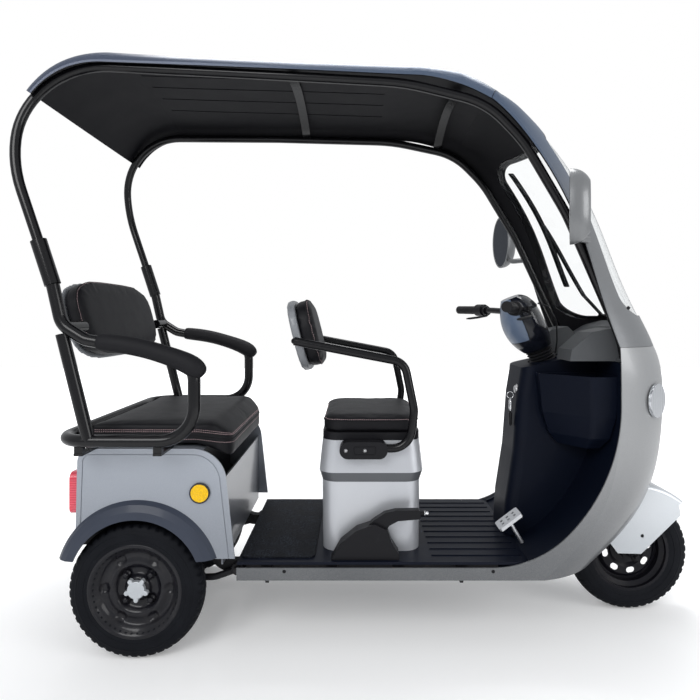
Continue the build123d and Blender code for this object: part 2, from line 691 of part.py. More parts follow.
def arched_loft(table, outset, inset=None, ruled=False):
    """Loft along a table: a shell between two insets, or a solid when inset is None."""
    with BuildPart() as shell:
        for edge_x, edge_z, nose_x, nose_z, half, straight, crown_half, fall in table:
            rise = hypot(nose_x - edge_x, nose_z - edge_z)
            outward = Vector((nose_x - edge_x) / rise, 0, (nose_z - edge_z) / rise)
            section = Plane(origin=(edge_x, 0, edge_z), x_dir=(0, 1, 0),
                            z_dir=(outward.Z, 0, -outward.X))
            turn = 1 if section.y_dir.dot(outward) > 0 else -1
            with BuildSketch(section):
                with BuildLine():
                    draw_arch(half - outset, straight, rise - outset, crown_half - outset / 3, fall,
                              turn)
                    if inset is None:
                        Line((outset - half, 0), (half - outset, 0))
                    else:
                        draw_arch(half - inset, straight, rise - inset, crown_half - inset / 3, fall,
                                  turn)
                        Line((outset - half, 0), (inset - half, 0))
                        Line((half - outset, 0), (half - inset, 0))
                make_face()
        loft(ruled=ruled)
    return shell.part


def screen_strip(route, width, low, high):
    """Strip along a route of Y, Z points, between two distances off the front of the frame."""
    with BuildPart() as strip:
        with BuildSketch(Plane.YZ.offset(400)):
            for (start_y, start_z), (end_y, end_z) in zip(route, route[1:]):
                share = width / 2 / hypot(end_y - start_y, end_z - start_z)
                across = ((end_z - start_z) * share, (start_y - end_y) * share)
                Polygon((start_y + across[0], start_z + across[1]), (end_y + across[0], end_z + across[1]),
                        (end_y - across[0], end_z - across[1]),
                        (start_y - across[0], start_z - across[1]), align=None)
                with Locations((start_y, start_z), (end_y, end_z)):
                    Circle(width / 2)
        extrude(amount=700)
        add(arched_loft(FRAME_TABLE, -high, -low), mode=Mode.INTERSECT)
    return strip.part


WINDOW_LOW = 1012
WINDOW_HIGH = 1590
WINDOW_HALF_LOW = 246
WINDOW_HALF_HIGH = 238
GLASS_LAP = 14
GLASS_GAP = 0.4
GLASS_WALL = 4


def window_block(grow):
    """Block through the windscreen opening, grown on every side."""
    with BuildPart() as block:
        with BuildSketch(Plane.YZ.offset(400)) as opening:
            Polygon((-WINDOW_HALF_LOW - grow, WINDOW_LOW - grow),
                    (WINDOW_HALF_LOW + grow, WINDOW_LOW - grow),
                    (WINDOW_HALF_HIGH + grow, WINDOW_HIGH + grow),
                    (-WINDOW_HALF_HIGH - grow, WINDOW_HIGH + grow), align=None)
            fillet(opening.vertices(), 60 + grow)
        extrude(amount=700)
    return block.part


frame_outer = arched_loft(FRAME_TABLE, 0, SHELL_WALL)
glass_sheet = arched_loft(FRAME_TABLE, SHELL_WALL + GLASS_GAP, SHELL_WALL + GLASS_GAP + GLASS_WALL)
opening_block = window_block(0)
glass_block = window_block(GLASS_LAP)
with BuildPart() as windscreen_frame:
    add(frame_outer)
    add(opening_block, mode=Mode.SUBTRACT)
save(windscreen_frame, "windscreen_frame")

with BuildPart() as windscreen:
    add(glass_sheet)
    add(glass_block, mode=Mode.INTERSECT)
save(windscreen, "windscreen")

# Roof: one arched sheet with its flanges turned down, open at the rear end.
with BuildPart() as roof_panel:
    add(arched_loft(ROOF_FALL, 0, ROOF_WALL))
    add(arched_loft(ROOF_WAY, 0, ROOF_WALL, ruled=True))
    add(arched_loft(ROOF_REAR, 0, ROOF_WALL))
save(roof_panel, "roof_panel")

# Linings: black inner skins of the roof, with four long grooves, and of the windscreen frame.
GROOVE_FRONT = 12
GROOVE_REAR = -780
GROOVE_PITCH = 100
GROOVE_WIDTH = 13
GROOVE_DEPTH = 1.6
lining_out = ROOF_WALL + LINING_GAP
lining_in = lining_out + LINING_WALL
groove_skin = arched_loft(ROOF_WAY, lining_in - GROOVE_DEPTH, lining_in + 6, ruled=True)
with BuildPart() as grooves:
    with BuildSketch(Plane.XY.offset(1600)):
        with Locations(((GROOVE_FRONT + GROOVE_REAR) / 2, 0)):
            with GridLocations(1, GROOVE_PITCH, 1, 4):
                SlotOverall(GROOVE_FRONT - GROOVE_REAR, GROOVE_WIDTH)
    extrude(amount=250)
    add(groove_skin, mode=Mode.INTERSECT)
pillar_out = SHELL_WALL + GLASS_GAP
glass_hole = window_block(GLASS_LAP + 1)
SLEEVE_BOTTOM = (-930, BENCH_HALF_SPACING, 1097)
SLEEVE_TOP = (-970, BENCH_HALF_SPACING, 1220)
HOOP_REAR_X = REAR_END + HOOP_TUBE_RADIUS
HOOP_POINTS = [
    (-940, 399, 1128),
    (HOOP_REAR_X, 399, 1430),
    (HOOP_REAR_X, 341, 1740),
    (-400, 302, 1724),
    (60, 284, 1706),
    (306, 273, 1650),
    (420, 270, 1533),
    (548, 266, 1318),
    (730, 252, 916),
    (732, 249, 691),
]
HOOP_RADII = [400, 235, 900, 700, 250, 400, 600, 300]
# Straps: X, Z of the ends on the hoops, rise at the middle.
STRAPS = [(-283, 1730, 42), (236, 1668, 70)]
STRAP_WIDTH = 30
STRAP_THICKNESS = 4
STRAP_REACH = 288
hoops = [tube(flipped(HOOP_POINTS, side), HOOP_RADII, HOOP_TUBE_RADIUS) for side in SIDES.values()]
with BuildPart() as cabin_linings:
    add(arched_loft(ROOF_FALL, lining_out, lining_in))
    add(arched_loft(ROOF_WAY, lining_out, lining_in, ruled=True))
    add(arched_loft(ROOF_REAR, lining_out, lining_in))
    add(grooves.part, mode=Mode.SUBTRACT)
    add(arched_loft(FRAME_TABLE, pillar_out, pillar_out + LINING_WALL))
    add(arched_loft([ROOF_FALL[0], FRAME_TABLE[-1]], pillar_out, pillar_out + LINING_WALL))
    add(glass_hole, mode=Mode.SUBTRACT)
    for side in SIDES.values():
        add(tube(flipped(HOOP_POINTS, side), HOOP_RADII, HOOP_TUBE_RADIUS + CLEARANCE),
            mode=Mode.SUBTRACT)
save(cabin_linings, "cabin_linings")

# ---------------------------------------------------------------- roof hoops
with BuildPart() as roof_hoops:
    for x, z, lift in STRAPS:
        with BuildSketch(Plane.YZ.offset(x - STRAP_WIDTH / 2)):
            with BuildLine():
                reach = STRAP_REACH
                ThreePointArc((-reach, z), (0, z + lift), (reach, z))
                ThreePointArc((-reach, z - STRAP_THICKNESS), (0, z + lift - STRAP_THICKNESS),
                              (reach, z - STRAP_THICKNESS))
                Line((-reach, z), (-reach, z - STRAP_THICKNESS))
                Line((reach, z), (reach, z - STRAP_THICKNESS))
            make_face()
        extrude(amount=STRAP_WIDTH)
    add(hoops)
save(roof_hoops, "roof_hoops")

# Dash: dark lining from the top of the leg shield up to the foot of the windscreen, with a pad each side.
DASH_LINE = [(TRIM_X + SHIELD_SHIFT, SHIELD_TOP + 3), (742, 930), (790, 975), (830, 995)]
DASH_WALL = 4
PAD_INNER = 120
PAD_OUTER = 232
PAD_OUTLINE = [(572, 871), (712, 871), (744, 931), (700, 972), (640, 960), (578, 906)]
cabin_solid = arched_loft(FRAME_TABLE, pillar_out + LINING_WALL + 1)
nose_room = nose_solid(SHELL_WALL + 1, 400, high_extra=0.8)
with BuildPart() as dash_top:
    add(cabin_solid)
    add(nose_room)
    with Locations((735, 0, 916)):
        Box(20, 480, 6)
    with BuildSketch(side_plane(0)):
        with BuildLine():
            Polyline(*DASH_LINE)
            offset(amount=DASH_WALL, side=Side.RIGHT)
        make_face()
    extrude(amount=280, both=True, mode=Mode.INTERSECT)
    for side in SIDES.values():
        with BuildSketch(side_plane(side * PAD_OUTER)):
            Polygon(*PAD_OUTLINE, align=None)
        extrude(amount=side * (PAD_OUTER - PAD_INNER))
    for side in SIDES.values():
        add(tube(flipped(HOOP_POINTS, side), HOOP_RADII, HOOP_TUBE_RADIUS + CLEARANCE),
            mode=Mode.SUBTRACT)
save(dash_top, "dash_top")

# ---------------------------------------------------------------- floor and chassis
FLOOR_REAR = -442
FLOOR_HALF_WIDTH = 288
RAIL_Y = 200
RAIL_HEIGHT = 36
RAIL_WIDTH = 30
RAIL_TOP = SILL_TOP - SHIELD_SHIFT - SHIELD_WALL
RAIL_KICK_X = -505
RAIL_REAR_Z = 410
RIB_COUNT = 11
RIB_PITCH = 48
RIB_LENGTH = 272
RIB_MIDDLE = 280

with BuildPart() as floor_tray:
    with BuildSketch(side_plane(0)):
        Polygon((FLOOR_REAR, FLOOR_TOP - FLOOR_WALL), (FLOOR_FRONT, FLOOR_TOP - FLOOR_WALL),
                (FLOOR_FRONT + FLOOR_RAMP, FLOOR_TOP), (FLOOR_REAR, FLOOR_TOP), align=None)
    extrude(amount=FLOOR_HALF_WIDTH, both=True)
    with BuildSketch(Plane.XY.offset(FLOOR_TOP)):
        with Locations((RIB_MIDDLE, 0)):
            with GridLocations(1, RIB_PITCH, 1, RIB_COUNT):
                Rectangle(RIB_LENGTH, 5)
    extrude(amount=2.5)
save(floor_tray, "floor_tray")

MAT_FRONT = -212
MAT_REAR = -436
with BuildPart() as rear_floor_mat:
    with BuildSketch(Plane.XY.offset(FLOOR_TOP)):
        with Locations(((MAT_FRONT + MAT_REAR) / 2, 0)):
            RectangleRounded(MAT_FRONT - MAT_REAR, 524, 20)
    extrude(amount=5)
save(rear_floor_mat, "rear_floor_mat")

BEARERS = (231, 40, -160, -355)
ARM_PIVOT = (-450, 232)
ARM_TUBE_RADIUS = 11
TRAILING_Y = 228
with BuildPart() as chassis_rails:
    for side in SIDES.values():
        y = side * RAIL_Y
        with BuildLine() as rail_route:
            FilletPolyline((520, y, RAIL_TOP - RAIL_HEIGHT / 2),
                           (RAIL_KICK_X, y, RAIL_TOP - RAIL_HEIGHT / 2),
                           (-600, y, RAIL_REAR_Z), (-890, y, RAIL_REAR_Z), radius=[60, 60])
        with BuildSketch(Plane(origin=rail_route.line @ 0, x_dir=(0, 1, 0), z_dir=(-1, 0, 0))):
            Rectangle(RAIL_WIDTH, RAIL_HEIGHT)
        sweep()
    for side in SIDES.values():
        with BuildSketch(side_plane(side * RAIL_Y)):
            with Locations(ARM_PIVOT):
                Circle(ARM_TUBE_RADIUS + RUNNING_FIT)
        extrude(amount=RAIL_WIDTH, both=True, mode=Mode.SUBTRACT)
save(chassis_rails, "chassis_rails")

# Crossmembers: boxes between the rails, bearers on top of them under the floor with a gusset below
# each outer end, and the pivot tube of the trailing arms.
CROSS_PLACES = [(505, RAIL_TOP - RAIL_HEIGHT / 2), (-640, RAIL_REAR_Z), (-875, RAIL_REAR_Z)]
CROSS_HALF = RAIL_Y - RAIL_WIDTH / 2
with BuildPart() as chassis_crossmembers:
    for place in CROSS_PLACES:
        with BuildSketch(side_plane(0)):
            with Locations(place):
                Rectangle(30, RAIL_HEIGHT)
        extrude(amount=CROSS_HALF, both=True)
    for x in BEARERS:
        with BuildSketch(Plane.XY.offset(RAIL_TOP)):
            with Locations((x, 0)):
                Rectangle(34, 2 * FLOOR_HALF_WIDTH - 24)
        extrude(amount=FLOOR_TOP - FLOOR_WALL - RAIL_TOP)
    for x in (BEARERS[0], BEARERS[-1]):
        for y in (-268, 260):
            with BuildSketch(side_plane(y)):
                Polygon((x - 14, RAIL_TOP), (x + 14, RAIL_TOP), (x + 5, 206), (x - 5, 206), align=None)
            extrude(amount=-8)
    add(straight_tube((ARM_PIVOT[0], -250, ARM_PIVOT[1]), (ARM_PIVOT[0], 250, ARM_PIVOT[1]),
                      ARM_TUBE_RADIUS))
save(chassis_crossmembers, "chassis_crossmembers")

# Head tube with its bore for the stem, braces down to the front crossmember and out to the hoops.
with BuildPart() as head_tube:
    with BuildSketch(STEER.offset(HEAD_TUBE_LOW)):
        Circle(26)
    extrude(amount=HEAD_TUBE_HIGH - HEAD_TUBE_LOW)
    mid_x, mid_z = on_steering_axis(430)
    for side in SIDES.values():
        add(straight_tube((mid_x, side * 10, mid_z), (522, side * 60, RAIL_TOP - 20), 13))
    bar_x, bar_z = on_steering_axis(530)
    add(straight_tube((732, -262, 675), (732, 262, 675), 15))
    add(straight_tube((bar_x, 0, bar_z), (732, 0, 675), 14))
    with BuildSketch(STEER.offset(HEAD_TUBE_LOW - 5)):
        Circle(STEM_RADIUS + RUNNING_FIT)
    extrude(amount=HEAD_TUBE_HIGH - HEAD_TUBE_LOW + 10, mode=Mode.SUBTRACT)
    add(chassis_crossmembers.part, mode=Mode.SUBTRACT)
save(head_tube, "head_tube")

# ---------------------------------------------------------------- rear body
ARCH_CENTRE = (REAR_AXLE_X + 10, 228)
BODY_ARCH_RADIUS = 232
REAR_FRONT_CORNER = 100
PANEL_LAP = 15
PANEL_GAP = 3
PANEL_GAP_DEPTH = 2.5


def rear_block(inset):
    half = REAR_BODY_HALF_WIDTH - inset
    drop = 30 if inset else 0
    front = 30 if inset else 0
    top = REAR_BODY_TOP - inset
    points = [(-443 + front, 297 - drop), (-478 + front, top), (-905 + inset, top),
              (-912 + inset, 297 - drop)]
    with BuildPart() as block:
        with BuildSketch(side_plane(0)):
            with BuildLine():
                FilletPolyline(*points, radius=[REAR_FRONT_CORNER - inset, 40 - inset])
                Line(points[-1], points[0])
            make_face()
        extrude(amount=half, both=True)
    return block.part


rear_outer = rear_block(0)
rear_inner = rear_block(SHELL_WALL)
with BuildPart() as rear_body:
    add(rear_outer)
    add(rear_inner, mode=Mode.SUBTRACT)
    with BuildSketch(side_plane(0)):
        with Locations(ARCH_CENTRE):
            Circle(BODY_ARCH_RADIUS)
    extrude(amount=REAR_BODY_HALF_WIDTH + 10, both=True, mode=Mode.SUBTRACT)
    # Shadow gap along the front and top edge of each side panel.
    for side in SIDES.values():
        with BuildSketch(side_plane(side * (REAR_BODY_HALF_WIDTH + 2))):
            with BuildLine():
                gap_run = [[(-443 - lap, 290), (-478 - lap, REAR_BODY_TOP - lap),
                            (-905 + lap, REAR_BODY_TOP - lap), (-912 + lap, 400)]
                           for lap in (PANEL_LAP, PANEL_LAP + PANEL_GAP)]
                for run, lap in zip(gap_run, (PANEL_LAP, PANEL_LAP + PANEL_GAP)):
                    FilletPolyline(*run, radius=[REAR_FRONT_CORNER - lap, 40 - lap])
                Line(gap_run[0][0], gap_run[1][0])
                Line(gap_run[0][-1], gap_run[1][-1])
            make_face()
        extrude(amount=side * (2 + PANEL_GAP_DEPTH), mode=Mode.SUBTRACT)
save(rear_body, "rear_body")

BULKHEAD_X = -482
with BuildPart() as rear_bulkhead:
    with BuildSketch(Plane.XY.offset(FLOOR_TOP + CLEARANCE)):
        with Locations((BULKHEAD_X, 0)):
            Rectangle(5, 2 * (REAR_BODY_HALF_WIDTH - SHELL_WALL - 3))
    extrude(amount=REAR_BODY_TOP - 95 - FLOOR_TOP)
save(rear_bulkhead, "rear_bulkhead")

# Wheel-arch flare: a thin curved lip standing out from the side panel. Columns: radius, stand-off.
FLARE_OUTER = [(242, 0), (232, 14), (214, 25), (192, 29)]
FLARE_WALL = 5
flare_axis = Axis((ARCH_CENTRE[0], 0, ARCH_CENTRE[1]), (0, 1, 0))
with BuildPart() as rear_fenders:
    for side in SIDES.values():
        base = REAR_BODY_HALF_WIDTH
        outer = [(side * (base + out), r) for r, out in FLARE_OUTER]
        inner = [(side * (base + max(out - FLARE_WALL, 0)), r - (0 if out > 20 else 6))
                 for r, out in reversed(FLARE_OUTER)]
        section = Plane(origin=(ARCH_CENTRE[0], 0, ARCH_CENTRE[1]), x_dir=(0, 1, 0), z_dir=(1, 0, 0))
        with BuildSketch(section):
            Polygon(*outer, *inner, align=None)
        revolve(axis=flare_axis)
    with BuildSketch(Plane.XY.offset(300)):
        Rectangle(3000, 900)
    extrude(amount=400, mode=Mode.INTERSECT)
save(rear_fenders, "rear_fenders")

# Inner arches: half drums open to the outside, with the wheel turning in them.
HOUSING_INNER_Y = 218
HOUSING_WALL = 3
with BuildPart() as wheel_housings:
    for side in SIDES.values():
        drum = side_plane(side * HOUSING_INNER_Y)
        with BuildSketch(drum):
            with Locations(ARCH_CENTRE):
                Circle(BODY_ARCH_RADIUS - CLEARANCE)
        extrude(amount=-side * (REAR_BODY_HALF_WIDTH - 2 - HOUSING_INNER_Y))
    for side in SIDES.values():
        drum = side_plane(side * (HOUSING_INNER_Y + HOUSING_WALL))
        with BuildSketch(drum):
            with Locations(ARCH_CENTRE):
                Circle(BODY_ARCH_RADIUS - CLEARANCE - HOUSING_WALL)
        extrude(amount=-side * 150, mode=Mode.SUBTRACT)
    with BuildSketch(Plane.XY.offset(302)):
        Rectangle(3000, 900)
    extrude(amount=400, mode=Mode.INTERSECT)
save(wheel_housings, "wheel_housings")

with BuildPart() as tail_lamps:
    with BuildSketch(Plane.YZ.offset(-913)):
        with Locations((272, 484), (-272, 484)):
            RectangleRounded(56, 124, 20)
    extrude(amount=-22)
save(tail_lamps, "tail_lamps")

with BuildPart() as side_reflectors:
    for side in SIDES.values():
        face = side * REAR_BODY_HALF_WIDTH
        with BuildSketch(Plane(origin=(-545, face, 491), x_dir=(1, 0, 0), z_dir=(0, side, 0))):
            Circle(30)
        extrude(amount=7)
save(side_reflectors, "side_reflectors")

with BuildPart() as battery_pack:
    with BuildSketch(Plane.XY.offset(RAIL_REAR_Z + RAIL_HEIGHT / 2)):
        with Locations((-720, 0)):
            Rectangle(300, 400)
    extrude(amount=170)
save(battery_pack, "battery_pack")

# ---------------------------------------------------------------- rear axle and suspension
SHOCK_Y = 165
with BuildPart() as rear_axle:
    with BuildSketch(side_plane(0)):
        with Locations((REAR_AXLE_X, WHEEL_RADIUS)):
            Circle(24)
    extrude(amount=WHEEL_Y - 64, both=True)
    with BuildSketch(side_plane(0)):
        with Locations((REAR_AXLE_X, WHEEL_RADIUS)):
            Circle(88)
    extrude(amount=62, both=True)
    with BuildSketch(side_plane(0)):
        with Locations((REAR_AXLE_X, WHEEL_RADIUS)):
            Circle(AXLE_RADIUS)
    extrude(amount=WHEEL_Y + 8, both=True)
    for side in SIDES.values():
        with BuildSketch(side_plane(side * (WHEEL_Y - 40 if side > 0 else WHEEL_Y - 64))):
            with Locations((REAR_AXLE_X, WHEEL_RADIUS)):
                Circle(70)
        extrude(amount=24)
    for side in SIDES.values():
        with BuildSketch(side_plane(side * SHOCK_Y + 14)):
            with Locations((REAR_AXLE_X, WHEEL_RADIUS + 19)):
                Rectangle(34, 30)
        extrude(amount=28)
save(rear_axle, "rear_axle")

with BuildPart() as rear_suspension:
    for side in SIDES.values():
        y = side * SHOCK_Y
        add(straight_tube((REAR_AXLE_X, y, WHEEL_RADIUS + 38),
                          (REAR_AXLE_X + 30, y, RAIL_REAR_Z), 12))
        coil = Plane(origin=(REAR_AXLE_X + 5, y, WHEEL_RADIUS + 60), z_dir=(30, 0, 186))
        with BuildSketch(coil):
            Circle(26)
        extrude(amount=110)
        add(straight_tube((REAR_AXLE_X + 30, side * 148, RAIL_REAR_Z - 4),
                          (REAR_AXLE_X + 30, side * (RAIL_Y - RAIL_WIDTH / 2), RAIL_REAR_Z - 4), 13))
    for side in SIDES.values():
        y = side * TRAILING_Y
        add(straight_tube((ARM_PIVOT[0], y - 9, ARM_PIVOT[1]), (ARM_PIVOT[0], y + 9, ARM_PIVOT[1]), 19))
        arm = [(ARM_PIVOT[0] - 8, y, ARM_PIVOT[1] - 4), (-520, y, 206), (REAR_AXLE_X + 24.2, y, WHEEL_RADIUS)]
        add(tube(arm, [80], 10))
    add(straight_tube((ARM_PIVOT[0], -260, ARM_PIVOT[1]), (ARM_PIVOT[0], 260, ARM_PIVOT[1]),
                      ARM_TUBE_RADIUS + RUNNING_FIT), mode=Mode.SUBTRACT)
    with BuildSketch(side_plane(0)):
        with Locations((REAR_AXLE_X, WHEEL_RADIUS)):
            Circle(70 + CLEARANCE)
    extrude(amount=WHEEL_Y, both=True, mode=Mode.SUBTRACT)
save(rear_suspension, "rear_suspension")

# ---------------------------------------------------------------- bench
BENCH_PROFILE = [(-878, 627), (-560, 627), (-500, 602), (-466, 572), (-456, 580), (-456, 650),
                 (-505, 694), (-878, 690)]
BENCH_HALF_WIDTH = 300
with BuildPart() as bench_cushion:
    with BuildSketch(side_plane(0)):
        Polygon(*BENCH_PROFILE, align=None)
    extrude(amount=BENCH_HALF_WIDTH, both=True)
save(bench_cushion, "bench_cushion")

RING_Z = 662
BACK_PIVOT = (-893, 978)
BACK_HALF_WIDTH = 300
RING_REAR_X = -925
ARM_FRONT_X = -537
S = BENCH_HALF_SPACING
ARM_POINTS = [
    (-760, S, RING_Z), (ARM_FRONT_X, S, RING_Z), (ARM_FRONT_X, S, 885), (-640, S, 908),
    (-840, S, 944), (-905, S, 985), SLEEVE_BOTTOM,
]
POST_POINTS = [(-830, S, RING_Z), (-904, S, 960)]
with BuildPart() as bench_frame:
    ring = [(-760, -S, RING_Z), (RING_REAR_X, -S, RING_Z), (RING_REAR_X, S, RING_Z), (-760, S, RING_Z)]
    add(tube(ring, [90, 90], BENCH_TUBE_RADIUS))
    for side in SIDES.values():
        add(tube(flipped(ARM_POINTS, side), [95, 70, 60, 60, 60], BENCH_TUBE_RADIUS))
        add(straight_tube(*flipped(POST_POINTS, side), BENCH_TUBE_RADIUS))
        low = flipped([SLEEVE_BOTTOM], side)[0]
        high = flipped([SLEEVE_TOP], side)[0]
        add(straight_tube(low, high, BENCH_TUBE_RADIUS + 4))
    for x in (-860, -640):
        for side in SIDES.values():
            with BuildSketch(Plane.XY.offset(REAR_BODY_TOP)):
                with Locations((x, side * 345)):
                    Rectangle(24, 110)
            extrude(amount=7)
            with BuildSketch(Plane.XY.offset(REAR_BODY_TOP)):
                with Locations((x, side * 390)):
                    Rectangle(24, 16)
            extrude(amount=RING_Z - REAR_BODY_TOP)
    for side in SIDES.values():
        add(straight_tube((BACK_PIVOT[0], side * BACK_HALF_WIDTH, BACK_PIVOT[1]),
                          (BACK_PIVOT[0], side * S, BACK_PIVOT[1]), 17))
    for side in SIDES.values():
        hoop = tube(flipped(HOOP_POINTS, side), HOOP_RADII, HOOP_TUBE_RADIUS + RUNNING_FIT)
        add(hoop, mode=Mode.SUBTRACT)
save(bench_frame, "bench_frame")

with BuildPart() as armrest_pads:
    for side in SIDES.values():
        pad_route = [(-545, S, 872), (-640, S, 908), (-800, S, 937)]
        bend = [60]
        add(tube(flipped(pad_route, side), bend, 27))
        arm = tube(flipped(ARM_POINTS, side), [95, 70, 60, 60, 60], BENCH_TUBE_RADIUS + RUNNING_FIT)
        add(arm, mode=Mode.SUBTRACT)
save(armrest_pads, "armrest_pads")

BACK_TILT = 16
BACK_HEIGHT = 248
BACK_BOTTOM = (-862, 890)
back_plane = Plane(origin=(BACK_BOTTOM[0], 0, BACK_BOTTOM[1]), x_dir=(0, 1, 0),
                   z_dir=(-cos(radians(BACK_TILT)), 0, -sin(radians(BACK_TILT))))
back_turn = 1 if back_plane.y_dir.Z > 0 else -1

# ---------------------------------------------------------------- driver's seat
# Columns: height, length, width of the box at that height.
SEAT_SECTIONS = [(FLOOR_TOP, 306, 418), (493, 310, 422), (524, 328, 440), (622, 308, 416)]
SEAT_X = (SEAT_BOX_REAR + SEAT_BOX_FRONT) / 2


def seat_block(inset):
    with BuildPart() as block:
        for index, (height, length, width) in enumerate(SEAT_SECTIONS):
            level = height
            if inset and index == 0:
                level += SHELL_WALL
            if inset and index == len(SEAT_SECTIONS) - 1:
                level += 1
            with BuildSketch(Plane.XY.offset(level)):
                with Locations((SEAT_X, 0)):
                    RectangleRounded(length - 2 * inset, width - 2 * inset, 50 - inset)
        loft(ruled=True)
    return block.part


seat_outer = seat_block(0)
seat_inner = seat_block(4)
with BuildPart() as driver_seat_box:
    add(seat_outer)
    add(seat_inner, mode=Mode.SUBTRACT)
save(driver_seat_box, "driver_seat_box")

with BuildPart() as driver_seat_base:
    with BuildSketch(Plane.XY.offset(622 + CLEARANCE)):
        with Locations((SEAT_X, 0)):
            RectangleRounded(306, 416, 48)
    extrude(amount=24)
save(driver_seat_base, "driver_seat_base")

with BuildPart() as driver_cushion:
    with BuildSketch(Plane.XY.offset(646 + CLEARANCE)):
        with Locations((SEAT_X, 0)):
            RectangleRounded(316, 424, 56)
    extrude(amount=48)
save(driver_cushion, "driver_cushion")

ARM_HOOP_Y = 238
DRIVER_HOOP = [(-60, ARM_HOOP_Y, 604), (76, ARM_HOOP_Y, 604), (92, ARM_HOOP_Y, 720),
               (62, ARM_HOOP_Y, 868), (-277, ARM_HOOP_Y, 933)]
with BuildPart() as driver_back_hoop:
    for side in SIDES.values():
        add(tube(flipped(DRIVER_HOOP, side), [60, 80, 50], 13))
    add(straight_tube((-277, -ARM_HOOP_Y, 933), (-277, ARM_HOOP_Y, 933), 9))
save(driver_back_hoop, "driver_back_hoop")

with BuildPart() as hoop_side_covers:
    for side in SIDES.values():
        with BuildSketch(side_plane(side * ARM_HOOP_Y)):
            with Locations((-64, 602)):
                SlotOverall(146, 52)
        extrude(amount=24, both=True)
        hoop = tube(flipped(DRIVER_HOOP, side), [60, 80, 50], 13 + RUNNING_FIT)
        add(hoop, mode=Mode.SUBTRACT)
save(hoop_side_covers, "hoop_side_covers")

DRIVER_BACK_TILT = 14
driver_back_plane = Plane(origin=(-262, 0, 948), x_dir=(0, 1, 0),
                          z_dir=(-cos(radians(DRIVER_BACK_TILT)), 0, -sin(radians(DRIVER_BACK_TILT))))
PAD_DEPTH = 50
SHELL_DEPTH = 26
BENCH_SHELL_DEPTH = 8
with BuildPart() as backrest_pads:
    with BuildSketch(back_plane):
        with Locations((0, back_turn * BACK_HEIGHT / 2)):
            RectangleRounded(2 * BACK_HALF_WIDTH, BACK_HEIGHT, 70)
    extrude(amount=PAD_DEPTH)
    with BuildSketch(driver_back_plane.offset(-45)):
        RectangleRounded(330, 235, 75)
    extrude(amount=PAD_DEPTH)
save(backrest_pads, "backrest_pads")

with BuildPart() as backrest_shells:
    with BuildSketch(back_plane.offset(PAD_DEPTH)):
        with Locations((0, back_turn * BACK_HEIGHT / 2)):
            RectangleRounded(2 * BACK_HALF_WIDTH, BACK_HEIGHT, 70)
    extrude(amount=BENCH_SHELL_DEPTH)
    with BuildSketch(driver_back_plane.offset(PAD_DEPTH - 45)):
        RectangleRounded(330, 235, 75)
    extrude(amount=SHELL_DEPTH)
    add(straight_tube((-277, -ARM_HOOP_Y, 933), (-277, ARM_HOOP_Y, 933), 9 + RUNNING_FIT),
        mode=Mode.SUBTRACT)
save(backrest_shells, "backrest_shells")

# ---------------------------------------------------------------- controls and fittings
BRAKE_Y = -253
BRAKE_WIDTH = 46
BRAKE_HOUSING = [(-162, FLOOR_TOP), (-134, 326), (-84, 366), (-30, 384), (8, 366), (22, 326),
                 (42, 296), (42, FLOOR_TOP)]
BRAKE_HANDLE = [(-62, 366), (-34, 392), (0, 414), (34, 422), (106, 423), (110, 396), (40, 390),
                (14, 376), (-4, 352)]
with BuildPart() as parking_brake:
    with BuildSketch(side_plane(BRAKE_Y)):
        Polygon(*BRAKE_HOUSING, align=None)
    extrude(amount=BRAKE_WIDTH / 2, both=True)
    with BuildSketch(side_plane(BRAKE_Y)) as handle_side:
        Polygon(*BRAKE_HANDLE, align=None)
        fillet(handle_side.vertices(), 5)
    extrude(amount=12, both=True)
    add(straight_tube((104, BRAKE_Y, 409), (124, BRAKE_Y, 409), 6))
save(parking_brake, "parking_brake")

with BuildPart() as brake_pedal:
    add(straight_tube((395, -200, 366), (434, -200, 300), 6))
    pad = Plane(origin=(392, -200, 372), x_dir=(0, 1, 0), z_dir=(-0.6, 0, 0.8))
    with BuildSketch(pad):
        RectangleRounded(62, 84, 8)
        with GridLocations(20, 22, 2, 3):
            Circle(5, mode=Mode.SUBTRACT)
    extrude(amount=5, both=True)
save(brake_pedal, "brake_pedal")

with BuildPart() as headlamps:
    for side in SIDES.values():
        direction = radians(50)
        normal = (cos(direction), side * sin(direction), 0)
        reach_out = NOSE_RADIUS + 1
        with BuildSketch(Plane(origin=(642 + reach_out * normal[0], reach_out * normal[1], 750),
                               z_dir=normal)):
            Circle(52)
        extrude(amount=8)
save(headlamps, "headlamps")

MIRROR_AT = (516, 375, 1318)
MIRROR_TURN = 20
MIRROR_DEPTH = 54
with BuildPart() as mirrors:
    for side in SIDES.values():
        glass_normal = (-cos(radians(MIRROR_TURN)), -side * sin(radians(MIRROR_TURN)), 0)
        centre = (MIRROR_AT[0], side * MIRROR_AT[1], MIRROR_AT[2])
        head_plane = Plane(origin=centre, x_dir=(0, 0, 1), z_dir=glass_normal)
        with BuildSketch(head_plane):
            Ellipse(107, 57)
        with BuildSketch(head_plane.offset(-MIRROR_DEPTH / 2)):
            Ellipse(101, 52)
        with BuildSketch(head_plane.offset(-MIRROR_DEPTH)):
            Ellipse(72, 30)
        loft()
        add(tube(flipped([(540, 374, 1290), (546, 340, 1234), (602, 293, 1236)], side), [25], 10))
        with BuildSketch(head_plane.offset(-3)):
            Ellipse(101, 51)
        extrude(amount=10, mode=Mode.SUBTRACT)
    add(arched_loft(FRAME_TABLE, 0), mode=Mode.SUBTRACT)
save(mirrors, "mirrors")

